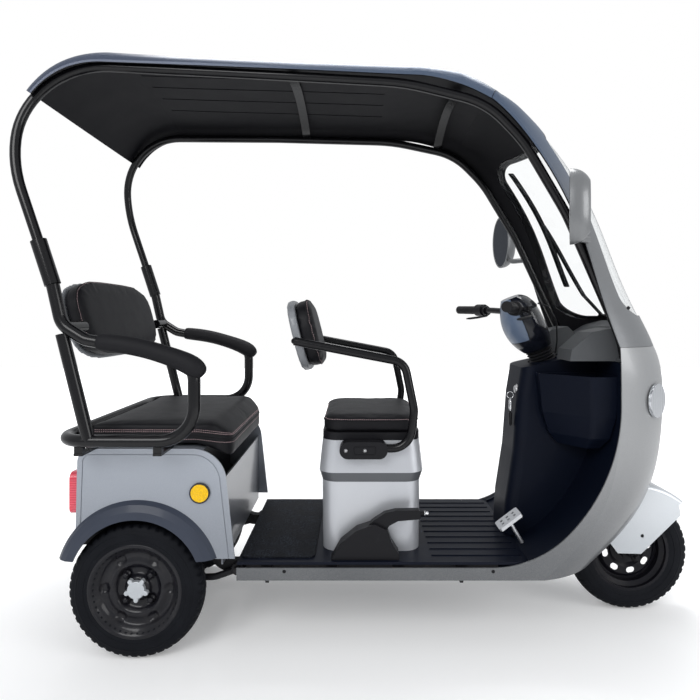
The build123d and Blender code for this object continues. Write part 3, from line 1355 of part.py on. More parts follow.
with BuildPart() as mirror_glasses:
    for side in SIDES.values():
        glass_normal = (-cos(radians(MIRROR_TURN)), -side * sin(radians(MIRROR_TURN)), 0)
        centre = (MIRROR_AT[0], side * MIRROR_AT[1], MIRROR_AT[2])
        with BuildSketch(Plane(origin=centre, x_dir=(0, 0, 1), z_dir=glass_normal).offset(-2.9)):
            Ellipse(100.5, 50.5)
        extrude(amount=2)
save(mirror_glasses, "mirror_glasses")

# Wiper: pivot cap, arm and blade following the curve of the screen.
# Columns: route in Y and Z, width, lowest and highest distance off the screen.
WIPER_PIECES = [
    ([(142, 992), (142, 1006)], 26, 1, 16),
    ([(142, 1000), (180, 1090), (219, 1360)], 8, 7, 14),
    ([(215, 1128), (215, 1560)], 9, 1, 9),
]
with BuildPart() as wiper:
    for route, width, low, high in WIPER_PIECES:
        add(screen_strip(route, width, low, high))
save(wiper, "wiper")
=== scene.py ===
# %% [markdown]
# # An electric passenger tricycle, dressed for a studio picture
# The exact solids come in as a fixed frame: their sizes and places are settled. This lesson
# gives each of them its finish, and adds the parts that solids don't hold well: stitched
# cushions, block treads, nuts and screws. Everything is in metres, +X is forward,
# +Y is the driver's left and +Z is up.

# %% Load the frame
import bpy, bmesh
from math import cos, pi, radians, sin, sqrt
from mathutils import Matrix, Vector
from mathutils.bvhtree import BVHTree


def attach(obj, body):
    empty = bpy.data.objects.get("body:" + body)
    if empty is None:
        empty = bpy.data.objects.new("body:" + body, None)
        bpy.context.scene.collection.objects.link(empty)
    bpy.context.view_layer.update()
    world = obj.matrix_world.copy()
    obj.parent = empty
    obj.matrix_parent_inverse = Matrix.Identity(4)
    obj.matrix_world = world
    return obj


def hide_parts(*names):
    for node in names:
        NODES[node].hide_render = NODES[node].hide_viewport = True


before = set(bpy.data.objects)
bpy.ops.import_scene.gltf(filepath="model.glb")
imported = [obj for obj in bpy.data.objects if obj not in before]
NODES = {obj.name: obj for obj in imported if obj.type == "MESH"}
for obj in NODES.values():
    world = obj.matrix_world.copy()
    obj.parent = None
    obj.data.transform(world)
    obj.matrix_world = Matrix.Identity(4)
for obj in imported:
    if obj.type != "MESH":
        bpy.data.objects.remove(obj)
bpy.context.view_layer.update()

# %% [markdown]
# ## A small language for finishes
# A finish is a graph of shader nodes. Drawing it one node at a time is long, so the sums are
# written as Python expressions: `Value` wraps a socket, and adding or multiplying two of them
# adds the Math node. Every other node comes from one method, `Finish.node`.

# %% Value: a socket that can be added and multiplied
class Value:
    def __init__(self, finish, socket):
        self.finish, self.socket = finish, socket

    def sum(self, operation, *terms):
        return self.finish.node("ShaderNodeMath", {"operation": operation}, dict(enumerate(terms)))

    def __add__(self, other): return self.sum("ADD", self, other)
    def __radd__(self, other): return self.sum("ADD", other, self)
    def __sub__(self, other): return self.sum("SUBTRACT", self, other)
    def __rsub__(self, other): return self.sum("SUBTRACT", other, self)
    def __mul__(self, other): return self.sum("MULTIPLY", self, other)
    def __rmul__(self, other): return self.sum("MULTIPLY", other, self)
    def __pow__(self, other): return self.sum("POWER", self, other)
    def __abs__(self): return self.sum("ABSOLUTE", self)
    def __lt__(self, other): return self.sum("LESS_THAN", self, other)
    def __gt__(self, other): return self.sum("GREATER_THAN", self, other)
    def sine(self): return self.sum("SINE", self)
    def most(self, other): return self.sum("MAXIMUM", self, other)

    def ramp(self, low, high, to_low=0.0, to_high=1.0):
        """Smooth change from to_low to to_high while this value goes from low to high."""
        return self.finish.node(
            "ShaderNodeMapRange", {"interpolation_type": "SMOOTHSTEP"},
            {"Value": self, "From Min": low, "From Max": high, "To Min": to_low, "To Max": to_high})


# %% Finish: one material
class Finish:
    def __init__(self, name, world=None, **fixed):
        """fixed gives the shader's own numbers and colours, such as Roughness=0.4."""
        self.material = world or bpy.data.materials.new(name)
        self.material.use_nodes = True
        self.tree = self.material.node_tree
        if world:
            self.tree.nodes.clear()
        else:
            self.shader = self.tree.nodes["Principled BSDF"]
        for socket, value in fixed.items():
            self.feed(socket.replace("_", " "), value)
        self._place = None

    def node(self, kind, settings=None, inputs=None, output=0):
        """A node of that kind: its settings, then what goes into its sockets."""
        made = self.tree.nodes.new(kind)
        for setting, value in (settings or {}).items():
            setattr(made, setting, value)
        for socket, value in (inputs or {}).items():
            self._plug(made.inputs[socket], value)
        return Value(self, made.outputs[output]) if len(made.outputs) else None

    def _plug(self, socket, value):
        if isinstance(value, Value):
            self.tree.links.new(value.socket, socket)
        elif socket.type == "RGBA":
            socket.default_value = (*value[:3], 1)
        else:
            socket.default_value = value

    def feed(self, socket, value):
        self._plug(self.shader.inputs[socket], value)

    def place(self):
        """Where a point is on the object, in metres."""
        if self._place is None:
            self._place = self.node("ShaderNodeTexCoord", output=3)
        return self._place

    def axis(self, letter):
        return self.node("ShaderNodeSeparateXYZ", None, {0: self.place()}, "XYZ".index(letter))

    def grain(self, size, detail=2.0, rough=0.5, stretch=None):
        """Noise from 0 to 1 whose lumps are about size metres wide."""
        spot = self.place()
        if stretch:
            spot = self.node("ShaderNodeMapping", None, {0: spot, 3: stretch})
        return self.node("ShaderNodeTexNoise", None,
                         {"Vector": spot, "Scale": 1 / size, "Detail": detail, "Roughness": rough})

    def cells(self, size, feature="F1"):
        """Distance inside a pattern of cells about size metres wide."""
        return self.node("ShaderNodeTexVoronoi", {"feature": feature},
                         {"Vector": self.place(), "Scale": 1 / size})

    def blend(self, amount, first, second):
        """Colour between two colours."""
        return self.node("ShaderNodeMix", {"data_type": "RGBA"}, {0: amount, 6: first, 7: second}, 2)

    def bump(self, height, depth, strength=1.0):
        """Raises the surface by height, from 0 to 1, times depth in metres."""
        self.feed("Normal", self.node("ShaderNodeBump", None,
                                      {"Strength": strength, "Distance": depth, "Height": height}))


print("finish language ready")

# %% [markdown]
# ## Paint and plastic
# The panels are moulded plastic in metallic silver. Such paint holds tiny flakes, so its colour
# isn't even: it gets a faint speckle, a slow change over a panel, and a clear coat on top. Each
# panel is also painted darker toward the bottom, as painted shade. Dust gathers low down, which
# roughens the gloss there.

# %% Silver paints
FLAKE = 0.0011           # width of a paint flake
FLAKE_EDGE = (0.1, 0.75)  # from the middle of a flake to its rim
RIPPLE = 0.006           # width of the waves in a moulded panel
RIPPLE_DEPTH = 0.00008


def silver_paint(name, colour, low, shade_heights=(0.25, 0.75), metal=0.45, rough=0.34, coat=0.5):
    paint = Finish(name, Coat_Weight=coat, Coat_Roughness=0.12, Coat_IOR=1.45)
    slow = paint.grain(0.35, 1.0)
    flake = paint.cells(FLAKE)
    height = paint.axis("Z")
    # Painted shade: the colour darkens toward the low colour at the bottom of each panel, over the heights
    # given. The slow grain adds a random change on top.
    tone = slow * 0.3 + height.ramp(*shade_heights) * 0.7
    tinted_and_shaded = paint.blend(tone, low, colour)
    sparkle = flake.ramp(*FLAKE_EDGE, 0.0, 0.14)
    paint.feed("Base Color", paint.blend(sparkle, tinted_and_shaded, [min(1, c * 1.9) for c in colour]))
    paint.feed("Metallic", flake.ramp(0.0, 1.0, metal, metal * 0.75))
    dust = paint.grain(0.012, 3.0) * height.ramp(0.5, 0.2)
    paint.feed("Roughness", rough + 0.05 * slow + 0.16 * dust)
    paint.bump(paint.grain(RIPPLE, 1.0), RIPPLE_DEPTH, 0.35)
    return paint.material


# Frame and roof edge: silver below. Up the pillar a painted reflection of the sky turns it steel
# blue, darker to the rear. Faces that look in toward the middle of the cabin are black.
CABIN_MIDDLE = (-0.1, 0, 1.1)
SKY_REFLECTION_HEIGHTS = (1.22, 1.58)  # heights on the pillar


def turning_paint(name):
    paint = Finish(name, Coat_Weight=0.12, Coat_Roughness=0.15, Specular_IOR_Level=0.25)
    height, along = paint.axis("Z"), paint.axis("X")
    flake = paint.cells(FLAKE)
    # Painted reflection: this steel blue stands for the sky reflected in the upper pillar and roof edge, and it
    # darkens toward the rear.
    blue = paint.blend(along.ramp(0.35, -0.75), (0.040, 0.066, 0.115), (0.020, 0.032, 0.066))
    low = paint.blend(paint.grain(0.3), (0.12, 0.125, 0.13), (0.17, 0.175, 0.18))
    body = paint.blend(height.ramp(*SKY_REFLECTION_HEIGHTS), low, blue)
    body = paint.blend(flake.ramp(*FLAKE_EDGE, 0.0, 0.08), body, (0.6, 0.62, 0.66))
    outward = paint.node("ShaderNodeVectorMath", {"operation": "SUBTRACT"}, {0: paint.place(), 1: CABIN_MIDDLE})
    facing = paint.node("ShaderNodeNewGeometry", output="Normal")
    inside = paint.node("ShaderNodeVectorMath", {"operation": "DOT_PRODUCT"}, {0: outward, 1: facing}, 1) < 0
    paint.feed("Base Color", paint.blend(inside, body, (0.005, 0.005, 0.007)))
    paint.feed("Metallic", flake.ramp(0.0, 1.0, 0.25, 0.15) * (1 - inside))
    paint.feed("Roughness", 0.32 + 0.06 * paint.grain(0.2))
    paint.bump(paint.grain(RIPPLE, 1.0), RIPPLE_DEPTH, 0.3)
    return paint.material


TURNING = turning_paint("roof_and_pillar_paint")
# For each silver, the second colour is the painted shade at the bottom of the panel.
SILVER = silver_paint("silver_paint", (0.33, 0.355, 0.40), (0.17, 0.185, 0.21), (0.28, 0.66))
FAIRING_SILVER = silver_paint("fairing_silver", (0.30, 0.305, 0.31), (0.010, 0.014, 0.020), (0.21, 0.74),
                              metal=0.25)
BULKHEAD = silver_paint("bulkhead_silver", (0.24, 0.25, 0.27), (0.035, 0.04, 0.055), (0.30, 0.62))
BRIGHT_SILVER = silver_paint("bright_silver", (0.66, 0.69, 0.72), (0.42, 0.45, 0.48), (0.2, 0.40))
MIRROR_SHELL = silver_paint("mirror_shell", (0.16, 0.165, 0.17), (0.16, 0.165, 0.17))
print("silver paints made")

# %% Plain moulded plastics
def plastic(name, colour, rough=0.45, grain=0.0012, depth=0.00006, wear=1.6, coat=0.0, shine=0.25):
    made = Finish(name, Coat_Weight=coat, Coat_Roughness=0.15, Specular_IOR_Level=shine)
    cloud = made.grain(0.09, 2.0)
    fine = made.grain(grain, 2.0, 0.6)
    made.feed("Base Color", made.blend(cloud * 0.5 + fine * 0.25, colour, [c * wear for c in colour]))
    made.feed("Roughness", rough + 0.12 * (cloud - 0.5) + 0.08 * fine)
    made.bump(fine, depth, 0.6)
    return made.material


NAVY = plastic("navy_plastic", (0.002, 0.0035, 0.009), 0.45, coat=0.02, shine=0.10)
BLACK = plastic("black_plastic", (0.005, 0.005, 0.0065), 0.45, shine=0.2)
GLOSS_BLACK = plastic("gloss_black", (0.005, 0.006, 0.010), 0.16, 0.004, 0.00004, coat=0.35)
LINING = plastic("lining_black", (0.005, 0.005, 0.0065), 0.55, 0.0016, 0.0001, shine=0.15)
GREY_TRIM = plastic("grey_trim", (0.055, 0.058, 0.062), 0.62, 0.0018, 0.00025)
FLARE = plastic("flare_grey", (0.026, 0.032, 0.048), 0.42, 0.002, 0.00006, coat=0.12)
SHELL_GREY = plastic("shell_grey", (0.20, 0.21, 0.225), 0.38, 0.002, 0.00005, wear=1.2, coat=0.3)
PANEL_BLUE = plastic("panel_blue", (0.10, 0.135, 0.20), 0.28, 0.003, 0.00003, wear=1.4, coat=0.5)
print("plastics made")

# %% [markdown]
# ## Painted tube and steel
# The tubes are black gloss powder coat: nearly black, with a slight orange peel. The frame under
# the floor is the same steel with a dull coat and road dust. Bare alloy has fine brushing.

# %% Metals
def powder_coat(name, colour, rough, dust=0.0):
    coat = Finish(name, Coat_Roughness=0.08, Specular_IOR_Level=0.18)
    # The outer tubes catch the light in a full coat. Those near the middle are dull.
    coat.feed("Coat Weight", abs(coat.axis("Y")).ramp(0.22, 0.27, 0.0, 0.3))
    peel = coat.grain(0.003, 1.0)
    dirt = coat.grain(0.03, 4.0, 0.6).ramp(0.45, 0.75) * coat.axis("Z").ramp(0.5, 0.15) * dust
    coat.feed("Base Color", coat.blend(dirt, colour, (0.10, 0.09, 0.08)))
    coat.feed("Roughness", rough + 0.05 * peel + 0.4 * dirt)
    coat.bump(peel, 0.0001, 0.5)
    return coat.material


def brushed(name, colour, rough=0.32, stretch=(40, 1, 40)):
    """Fine lines along Y, or an even grain where stretch is None."""
    metal = Finish(name)
    lines = metal.grain(0.02, 3.0, 0.6, stretch)
    metal.feed("Base Color", metal.blend(lines, colour, [min(1, c * 1.2) for c in colour]))
    metal.feed("Metallic", metal.grain(0.05).ramp(0.0, 1.0, 0.9, 1.0))
    metal.feed("Roughness", rough + 0.15 * lines)
    metal.bump(lines, 0.00004, 0.4)
    return metal.material


TUBE = powder_coat("gloss_black_tube", (0.004, 0.004, 0.005), 0.22)
WHEEL_BLACK = powder_coat("wheel_black", (0.006, 0.006, 0.009), 0.32, dust=0.08)
CHASSIS = powder_coat("chassis_black", (0.006, 0.006, 0.008), 0.45, dust=0.2)
ALLOY = brushed("brushed_alloy", (0.55, 0.56, 0.58))
STEEL = brushed("zinc_steel", (0.42, 0.42, 0.43), 0.28)
print("metals made")

# %% [markdown]
# ## Rubber, floor and mat
# Tyre rubber is matt, slightly blue-grey, with fine moulded rings on the sidewall. The floor
# tray is satin plastic. The mat behind the driver is a looped rubber that breaks light into
# specks, so it gets small bright and dark cells and a deep bump.

# %% Rubbers
def tyre_rubber(name):
    rubber = Finish(name, Specular_IOR_Level=0.12)
    fine = rubber.grain(0.0015, 3.0, 0.6)
    cloud = rubber.grain(0.05, 2.0)
    rubber.feed("Base Color", rubber.blend(cloud, (0.003, 0.0035, 0.0055), (0.007, 0.008, 0.011)))
    rubber.feed("Roughness", 0.52 + 0.2 * fine)
    rubber.bump(fine, 0.00015, 0.6)
    return rubber.material


def looped_mat(name):
    mat = Finish(name, Specular_IOR_Level=0.15)
    loops = mat.cells(0.0045)
    patches = mat.grain(0.06, 3.0, 0.6)
    speck = loops.ramp(0.55, 0.15) * patches.ramp(0.35, 0.65)
    mat.feed("Base Color", mat.blend(speck * 0.8, (0.004, 0.005, 0.008), (0.055, 0.065, 0.085)))
    mat.feed("Roughness", 0.55 + 0.3 * patches)
    mat.bump(loops, 0.0012, 0.9)
    return mat.material


TYRE = tyre_rubber("tyre_rubber")
SOFT_RUBBER = plastic("soft_rubber", (0.006, 0.006, 0.0075), 0.6, 0.001, 0.00012, shine=0.2)
FLOOR_PLASTIC = plastic("floor_plastic", (0.0035, 0.005, 0.011), 0.42, 0.0014, 0.00012, coat=0.03, shine=0.12)
MAT = looped_mat("looped_mat")
print("rubbers made")

# %% [markdown]
# ## Vinyl, glass, lamps and small accents
# The seats are charcoal vinyl with a pebbled grain. Lamps are clear or red plastic over a
# reflector, and the round side reflector is a yellow honeycomb inside a black ring.

# %% Seat vinyl
def seat_vinyl(name, colour, sheen):
    vinyl = Finish(name, Sheen_Weight=sheen, Sheen_Roughness=0.4, Specular_IOR_Level=0.18)
    pebble = vinyl.cells(0.0022)
    crease = vinyl.grain(0.05, 3.0, 0.55)
    vinyl.feed("Base Color", vinyl.blend(crease * 0.6 + pebble * 0.3, colour, [c * 1.9 for c in colour]))
    vinyl.feed("Roughness", 0.44 + 0.14 * crease)
    vinyl.bump(pebble * 0.6 + crease * 0.9, 0.0005, 0.55)
    return vinyl.material


VINYL = seat_vinyl("charcoal_vinyl", (0.0045, 0.0045, 0.0058), 0.01)
THREAD = plastic("pale_thread", (0.42, 0.30, 0.31), 0.7, 0.0008, 0.0001)
print("vinyl made")


# %% Glass, lamps and reflector
def clear_pane(name, tint):
    pane = Finish(name, Transmission_Weight=1.0, IOR=1.2, Base_Color=tint)
    pane.feed("Roughness", 0.01 * pane.grain(0.2, 1.0))
    return pane.material


def red_lens(name):
    lens = Finish(name, Coat_Weight=0.8, Coat_Roughness=0.05, Subsurface_Weight=0.15)
    flutes = (lens.axis("Z") * 900).sine() * 0.5 + 0.5
    tone = flutes * 0.6 + lens.grain(0.04) * 0.3
    lens.feed("Base Color", lens.blend(tone, (0.55, 0.02, 0.05), (0.78, 0.07, 0.12)))
    lens.feed("Roughness", 0.18 + 0.1 * flutes)
    lens.bump(flutes, 0.0006, 0.6)
    return lens.material


DISC_FACE = 0.0258  # radius of the yellow face inside its black ring


def yellow_reflector(name, middle):
    disc = Finish(name, Coat_Weight=0.25, Coat_Roughness=0.05, Specular_IOR_Level=0.25)
    across, up = disc.axis("X") - middle[0], disc.axis("Z") - middle[1]
    from_middle = (across * across + up * up) ** 0.5
    comb = disc.cells(0.0052, "DISTANCE_TO_EDGE")
    wall = comb.ramp(0.12, 0.03)
    face = disc.blend(wall * 0.75, (0.93, 0.56, 0.0), (0.55, 0.30, 0.0))
    disc.feed("Base Color", disc.blend(from_middle > DISC_FACE, face, (0.01, 0.01, 0.01)))
    disc.feed("Roughness", 0.22 + 0.2 * wall)
    disc.bump(comb.ramp(0.0, 0.3), 0.0008, 0.7)
    return disc.material


def lamp_face(name):
    lamp = Finish(name, Coat_Weight=1.0, Coat_Roughness=0.03, Metallic=0.8)
    flutes = (lamp.axis("Y") * 700).sine() * 0.5 + 0.5
    lamp.feed("Base Color", lamp.blend(flutes * 0.7, (0.45, 0.47, 0.50), (0.85, 0.87, 0.90)))
    lamp.feed("Roughness", 0.10 + 0.15 * flutes)
    lamp.bump(flutes, 0.0008, 0.5)
    return lamp.material


CLEAR = clear_pane("clear_acrylic", (0.97, 0.985, 0.99))
LAMP = lamp_face("fluted_lamp")
RED_LENS = red_lens("red_lens")
YELLOW = yellow_reflector("yellow_reflector", (-0.545, 0.491))
CHROME = brushed("bright_metal", (0.75, 0.76, 0.78), 0.10, None)
MIRROR = brushed("dark_mirror", (0.055, 0.06, 0.07), 0.04, None)
print("glass and lamps made")

# %% [markdown]
# ## Dressing the solids
# Panels whose shape the solid already holds keep their solid. Each only gets its finish.
# The driver's seat box has a dark band round its waist, so that finish also reads the height.

# %% Seat box with its waist band
def banded_silver(name, low_edge, high_edge):
    paint = Finish(name, Coat_Weight=0.5, Coat_Roughness=0.12)
    height = paint.axis("Z")
    band = (height > low_edge) * (height < high_edge)
    flake = paint.cells(FLAKE)
    silver = paint.blend(paint.grain(0.2), (0.43, 0.445, 0.48), (0.55, 0.565, 0.59))
    silver = paint.blend(flake.ramp(*FLAKE_EDGE, 0.0, 0.12), silver, (0.7, 0.71, 0.75))
    paint.feed("Base Color", paint.blend(band, silver, (0.085, 0.09, 0.10)))
    paint.feed("Metallic", 0.45 - 0.35 * band)
    paint.feed("Roughness", 0.33 + 0.12 * band + 0.05 * paint.grain(0.05))
    paint.bump(paint.grain(RIPPLE, 1.0), RIPPLE_DEPTH, 0.35)
    return paint.material


SEAT_SILVER = banded_silver("seat_box_silver", 0.4935, 0.5235)
print("seat box finish made")

# %% Which finish each solid gets
DRESS = {
    SILVER: ["rear_body"],
    FAIRING_SILVER: ["front_fairing"],
    TURNING: ["windscreen_frame", "roof_panel"],
    BRIGHT_SILVER: ["front_fender", "hub_cap_left", "hub_cap_right"],
    SEAT_SILVER: ["driver_seat_box"],
    NAVY: ["leg_shield", "column_cover", "glove_pockets"],
    BLACK: ["wheel_housings", "driver_seat_base", "hoop_side_covers", "bar_controls", "wiper",
            "parking_brake", "battery_pack"],
    GLOSS_BLACK: ["head_cowl"],
    MIRROR_SHELL: ["mirrors"],
    BULKHEAD: ["rear_bulkhead"],
    LINING: ["cabin_linings"],
    GREY_TRIM: ["dash_top"],
    FLARE: ["rear_fenders"],
    SHELL_GREY: ["backrest_shells"],
    PANEL_BLUE: ["instrument_panel"],
    TUBE: ["roof_hoops", "bench_frame", "driver_back_hoop", "handlebar"],
    WHEEL_BLACK: ["front_rim", "rear_rim_left", "rear_rim_right"],
    CHASSIS: ["chassis_rails", "chassis_crossmembers", "head_tube", "rear_axle", "rear_suspension",
              "steering_fork"],
    ALLOY: ["brake_pedal"],
    SOFT_RUBBER: ["column_bellows", "brake_cables", "handlebar_grips"],
    FLOOR_PLASTIC: ["floor_tray"],
    MAT: ["rear_floor_mat"],
    TYRE: ["front_tyre", "rear_tyre_left", "rear_tyre_right"],
    VINYL: ["bench_cushion", "driver_cushion", "backrest_pads", "armrest_pads"],
    CLEAR: ["windscreen"],
    LAMP: ["headlamps"],
    RED_LENS: ["tail_lamps"],
    YELLOW: ["side_reflectors"],
    MIRROR: ["mirror_glasses"],
}


def dress(item, material):
    item.data.materials.clear()
    item.data.materials.append(material)


for material, names in DRESS.items():
    for name in names:
        dress(NODES[name], material)
print("dressed", sum(len(names) for names in DRESS.values()), "of", len(NODES), "solids")

# %% [markdown]
# ## Making pieces
# A new piece is a mesh from points and faces. `piece` links it, gives it a finish, hides the solid
# that it stands for and lets it ride on a body. `sweep` runs a small round section along a route,
# and `lay_on` presses a route onto a surface, so that seams and stitches sit where they should.

# %% Helpers for new pieces
def piece(name, mesh, material, body, stands_for=(), smooth=True):
    item = mesh if isinstance(mesh, bpy.types.Object) else bpy.data.objects.new(name, mesh)
    if item.name not in bpy.context.collection.objects:
        bpy.context.collection.objects.link(item)
    dress(item, material)
    if smooth:
        item.data.polygons.foreach_set("use_smooth", [True] * len(item.data.polygons))
    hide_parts(*stands_for)
    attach(item, body)
    return item


def from_points(name, points, faces):
    mesh = bpy.data.meshes.new(name)
    mesh.from_pydata([tuple(p) for p in points], [], faces)
    mesh.update()
    return mesh


END_SHARE = 0.55  # a swept piece narrows to this at its two ends


def skin(start, rings, sides, closed=False):
    """Faces between rings of points that follow one another, each with the same count of sides."""
    faces = []
    for i in range(rings if closed else rings - 1):
        one, two = start + i * sides, start + (i + 1) % rings * sides
        for k in range(sides):
            faces.append((one + k, one + (k + 1) % sides, two + (k + 1) % sides, two + k))
    return faces


def sweep(routes, radius, sides=8):
    """Round section along each route. A route whose last point is its first is a loop."""
    points, faces = [], []
    for route in routes:
        route = [Vector(p) for p in route]
        closed = (route[0] - route[-1]).length < 1e-6
        if closed:
            route = route[:-1]
        count, start = len(route), len(points)
        across = None
        for i, spot in enumerate(route):
            ahead = route[(i + 1) % count] if closed or i + 1 < count else spot
            behind = route[i - 1] if closed or i else spot
            way = (ahead - behind).normalized()
            if across is None:
                across = way.orthogonal().normalized()
            across = (across - way * across.dot(way)).normalized()
            other = way.cross(across)
            size = radius * (END_SHARE if not closed and i in (0, count - 1) else 1)
            for k in range(sides):
                turn = 2 * pi * k / sides
                points.append(spot + across * cos(turn) * size + other * sin(turn) * size)
        faces += skin(start, count, sides, closed)
        if not closed:
            faces.append(tuple(start + k for k in reversed(range(sides))))
            faces.append(tuple(start + (count - 1) * sides + k for k in range(sides)))
    return points, faces


def surface(item):
    return BVHTree.FromPolygons([v.co for v in item.data.vertices],
                                [tuple(p.vertices) for p in item.data.polygons])


def lay_on(tree, route, lift=0.0, step=0.006):
    """The route in short steps, each pressed onto the nearest place of a surface."""
    laid = []
    for start, end in zip(route, route[1:]):
        start, end = Vector(start), Vector(end)
        steps = max(1, round((end - start).length / step))
        for i in range(steps):
            spot, normal = tree.find_nearest(start.lerp(end, i / steps))[:2]
            laid.append(spot + normal * lift)
    spot, normal = tree.find_nearest(Vector(route[-1]))[:2]
    laid.append(spot + normal * lift)
    return laid


def stitches(tree, route, lift, step=0.0022, length=2, gap=1):
    """Short bits of a laid route: length steps of thread, then a gap."""
    laid = lay_on(tree, route, lift, step)
    return [laid[i:i + length + 1] for i in range(0, len(laid) - length, length + gap)]


def rounded_outline(long, wide, corner, count=8):
    """Corner-rounded rectangle as points round the origin, closed."""
    ring = []
    for x, y, start in ((1, 1, 0), (-1, 1, 90), (-1, -1, 180), (1, -1, 270)):
        for k in range(count + 1):
            turn = radians(start + 90 * k / count)
            ring.append((x * (long / 2 - corner) + corner * cos(turn),
                         y * (wide / 2 - corner) + corner * sin(turn)))
    return ring + ring[:1]


print("helpers ready")

# %% [markdown]
# ## Cushions
# Each cushion starts from the space its solid holds, made a little smaller. It is remeshed,
# its corners are worn round, and then air pressure swells it like foam under vinyl. No point
# may move more than a few millimetres. The cover's piping and double stitching come after.

# %% Stuffed cushions
def settle(item):
    """Put what the modifiers make into the mesh, and drop the modifiers."""
    bpy.context.view_layer.update()
    made = bpy.data.meshes.new_from_object(item.evaluated_get(bpy.context.evaluated_depsgraph_get()))
    item.modifiers.clear()
    item.data = made


def linked(name, mesh):
    item = bpy.data.objects.new(name, mesh)
    bpy.context.collection.objects.link(item)
    return item


def even_faces(item, voxel):
    """Remesh with faces about voxel metres wide."""
    remesh = item.modifiers.new("even_mesh", "REMESH")
    remesh.mode, remesh.voxel_size = "VOXEL", voxel
    settle(item)


def subdivide(item, levels):
    finer = item.modifiers.new("finer", "SUBSURF")
    finer.levels = finer.render_levels = levels
    settle(item)


CLOTH_FRAMES = 20


def stuffed(name, node, body, voxel, shrink, rounds, cap, pressure,
            finish=None, form=None):
    """A soft cover for a solid, from its own mesh or from form.
    shrink and cap are in metres: how far it starts inside, and how far a point may swell."""
    item = linked(name, form or NODES[node].data.copy())
    even_faces(item, voxel)
    work = bmesh.new()
    work.from_mesh(item.data)
    for _ in range(rounds):
        bmesh.ops.smooth_vert(work, verts=work.verts, factor=0.5,
                              use_axis_x=True, use_axis_y=True, use_axis_z=True)
    work.normal_update()
    for v in work.verts:
        v.co -= v.normal * shrink
    work.to_mesh(item.data)
    work.free()
    before = [v.co.copy() for v in item.data.vertices]
    if pressure:
        cloth = item.modifiers.new("air", "CLOTH")
        cloth.settings.use_pressure = True
        cloth.settings.uniform_pressure_force = pressure
        cloth.settings.effector_weights.gravity = 0
        cloth.settings.quality = 5
        for frame_number in range(1, CLOTH_FRAMES + 1):
            bpy.context.scene.frame_set(frame_number)
        settle(item)
        bpy.context.scene.frame_set(1)
        for v, old in zip(item.data.vertices, before):
            moved = v.co - old
            if moved.length > cap:
                v.co = old + moved.normalized() * cap
    subdivide(item, 1)
    piece(name, item, finish or VINYL, body, [node])
    return item


def leaning(tilt):
    """Up along a pad that leans back by tilt degrees, and out from its front face."""
    up = Vector((-sin(radians(tilt)), 0, cos(radians(tilt))))
    return up, Vector((cos(radians(tilt)), 0, sin(radians(tilt))))


def pad_edge(k, count, half_wide, half_high, square):
    """Across and up to point k of an outline between an oval (square 2) and a rectangle."""
    c, d = cos(2 * pi * k / count), sin(2 * pi * k / count)
    return (half_wide * abs(c) ** (2 / square) * (1 if c > 0 else -1),
            half_high * abs(d) ** (2 / square) * (1 if d > 0 else -1))


def slabs(name, table, count=96):
    """One closed slab per row. Columns: middle of the front face, tilt back in degrees,
    half width, half height, depth, squareness."""
    points, faces = [], []
    for middle, tilt, half_wide, half_high, depth, square in table:
        up, out = leaning(tilt)
        start = len(points)
        for back in (0, depth):
            for k in range(count):
                wide, high = pad_edge(k, count, half_wide, half_high, square)
                points.append(Vector(middle) + Vector((0, wide, 0)) + up * high - out * back)
        front = [start + k for k in range(count)]
        behind = [k + count for k in front]
        faces += [tuple(front), tuple(reversed(behind))]
        faces += [(front[k], behind[k], behind[(k + 1) % count], front[(k + 1) % count])
                  for k in range(count)]
    return from_points(name, points, faces)


def round_front(mesh, front, half, corner):
    """Round a cushion's front corners in plan."""
    for v in mesh.vertices:
        ahead = (v.co.x - (front - corner)) / corner
        if ahead > 0:
            v.co.y *= (half - corner * (1 - sqrt(max(0.0, 1 - min(1.0, ahead) ** 2)))) / half
    return mesh


def evened(node, voxel):
    """A solid's mesh with even small faces."""
    item = linked(node + "_even", NODES[node].data.copy())
    even_faces(item, voxel)
    mesh = item.data
    bpy.data.objects.remove(item)
    return mesh


bench = stuffed("bench_cushion_cover", "bench_cushion", "bench_seat", 0.0085, 0.003, 7, 0.006, 4,
                form=round_front(evened("bench_cushion", 0.0085), -0.456, 0.300, 0.075))
saddle = stuffed("driver_cushion_cover", "driver_cushion", "driver_seat", 0.0065, 0.002, 5, 0.008, 4)
BENCH_TILT, RIDER_TILT = 16, 14
BENCH_SQUARE, RIDER_SQUARE = 3.4, 2.9
bench_up, bench_out = leaning(BENCH_TILT)
_, rider_out = leaning(RIDER_TILT)
BENCH_BACK = Vector((-0.862, 0, 0.890)) + bench_up * 0.124
RIDER_BACK = Vector((-0.262, 0, 0.948)) + rider_out * 0.045
pad_forms = slabs("pads", [(BENCH_BACK, BENCH_TILT, 0.298, 0.128, 0.049, BENCH_SQUARE),
                           (RIDER_BACK, RIDER_TILT, 0.166, 0.119, 0.047, RIDER_SQUARE)])
backs = stuffed("backrest_pad_covers", "backrest_pads", "chassis", 0.0075, 0.001, 6, 0.006, 4,
                form=pad_forms)
# The shells behind the pads are hard, so they only get their edges rounded.
shell_forms = slabs("shells", [(BENCH_BACK - bench_out * 0.050, BENCH_TILT, 0.300, 0.130, 0.008, BENCH_SQUARE),
                               (RIDER_BACK - rider_out * 0.048, RIDER_TILT, 0.168, 0.122, 0.026, RIDER_SQUARE)])
shells = stuffed("rounded_shells", "backrest_shells", "chassis", 0.0055, 0.0, 3, 0.0, 0,
                 SHELL_GREY, form=shell_forms)
print("cushions", [len(c.data.polygons) for c in (bench, saddle, backs, shells)])

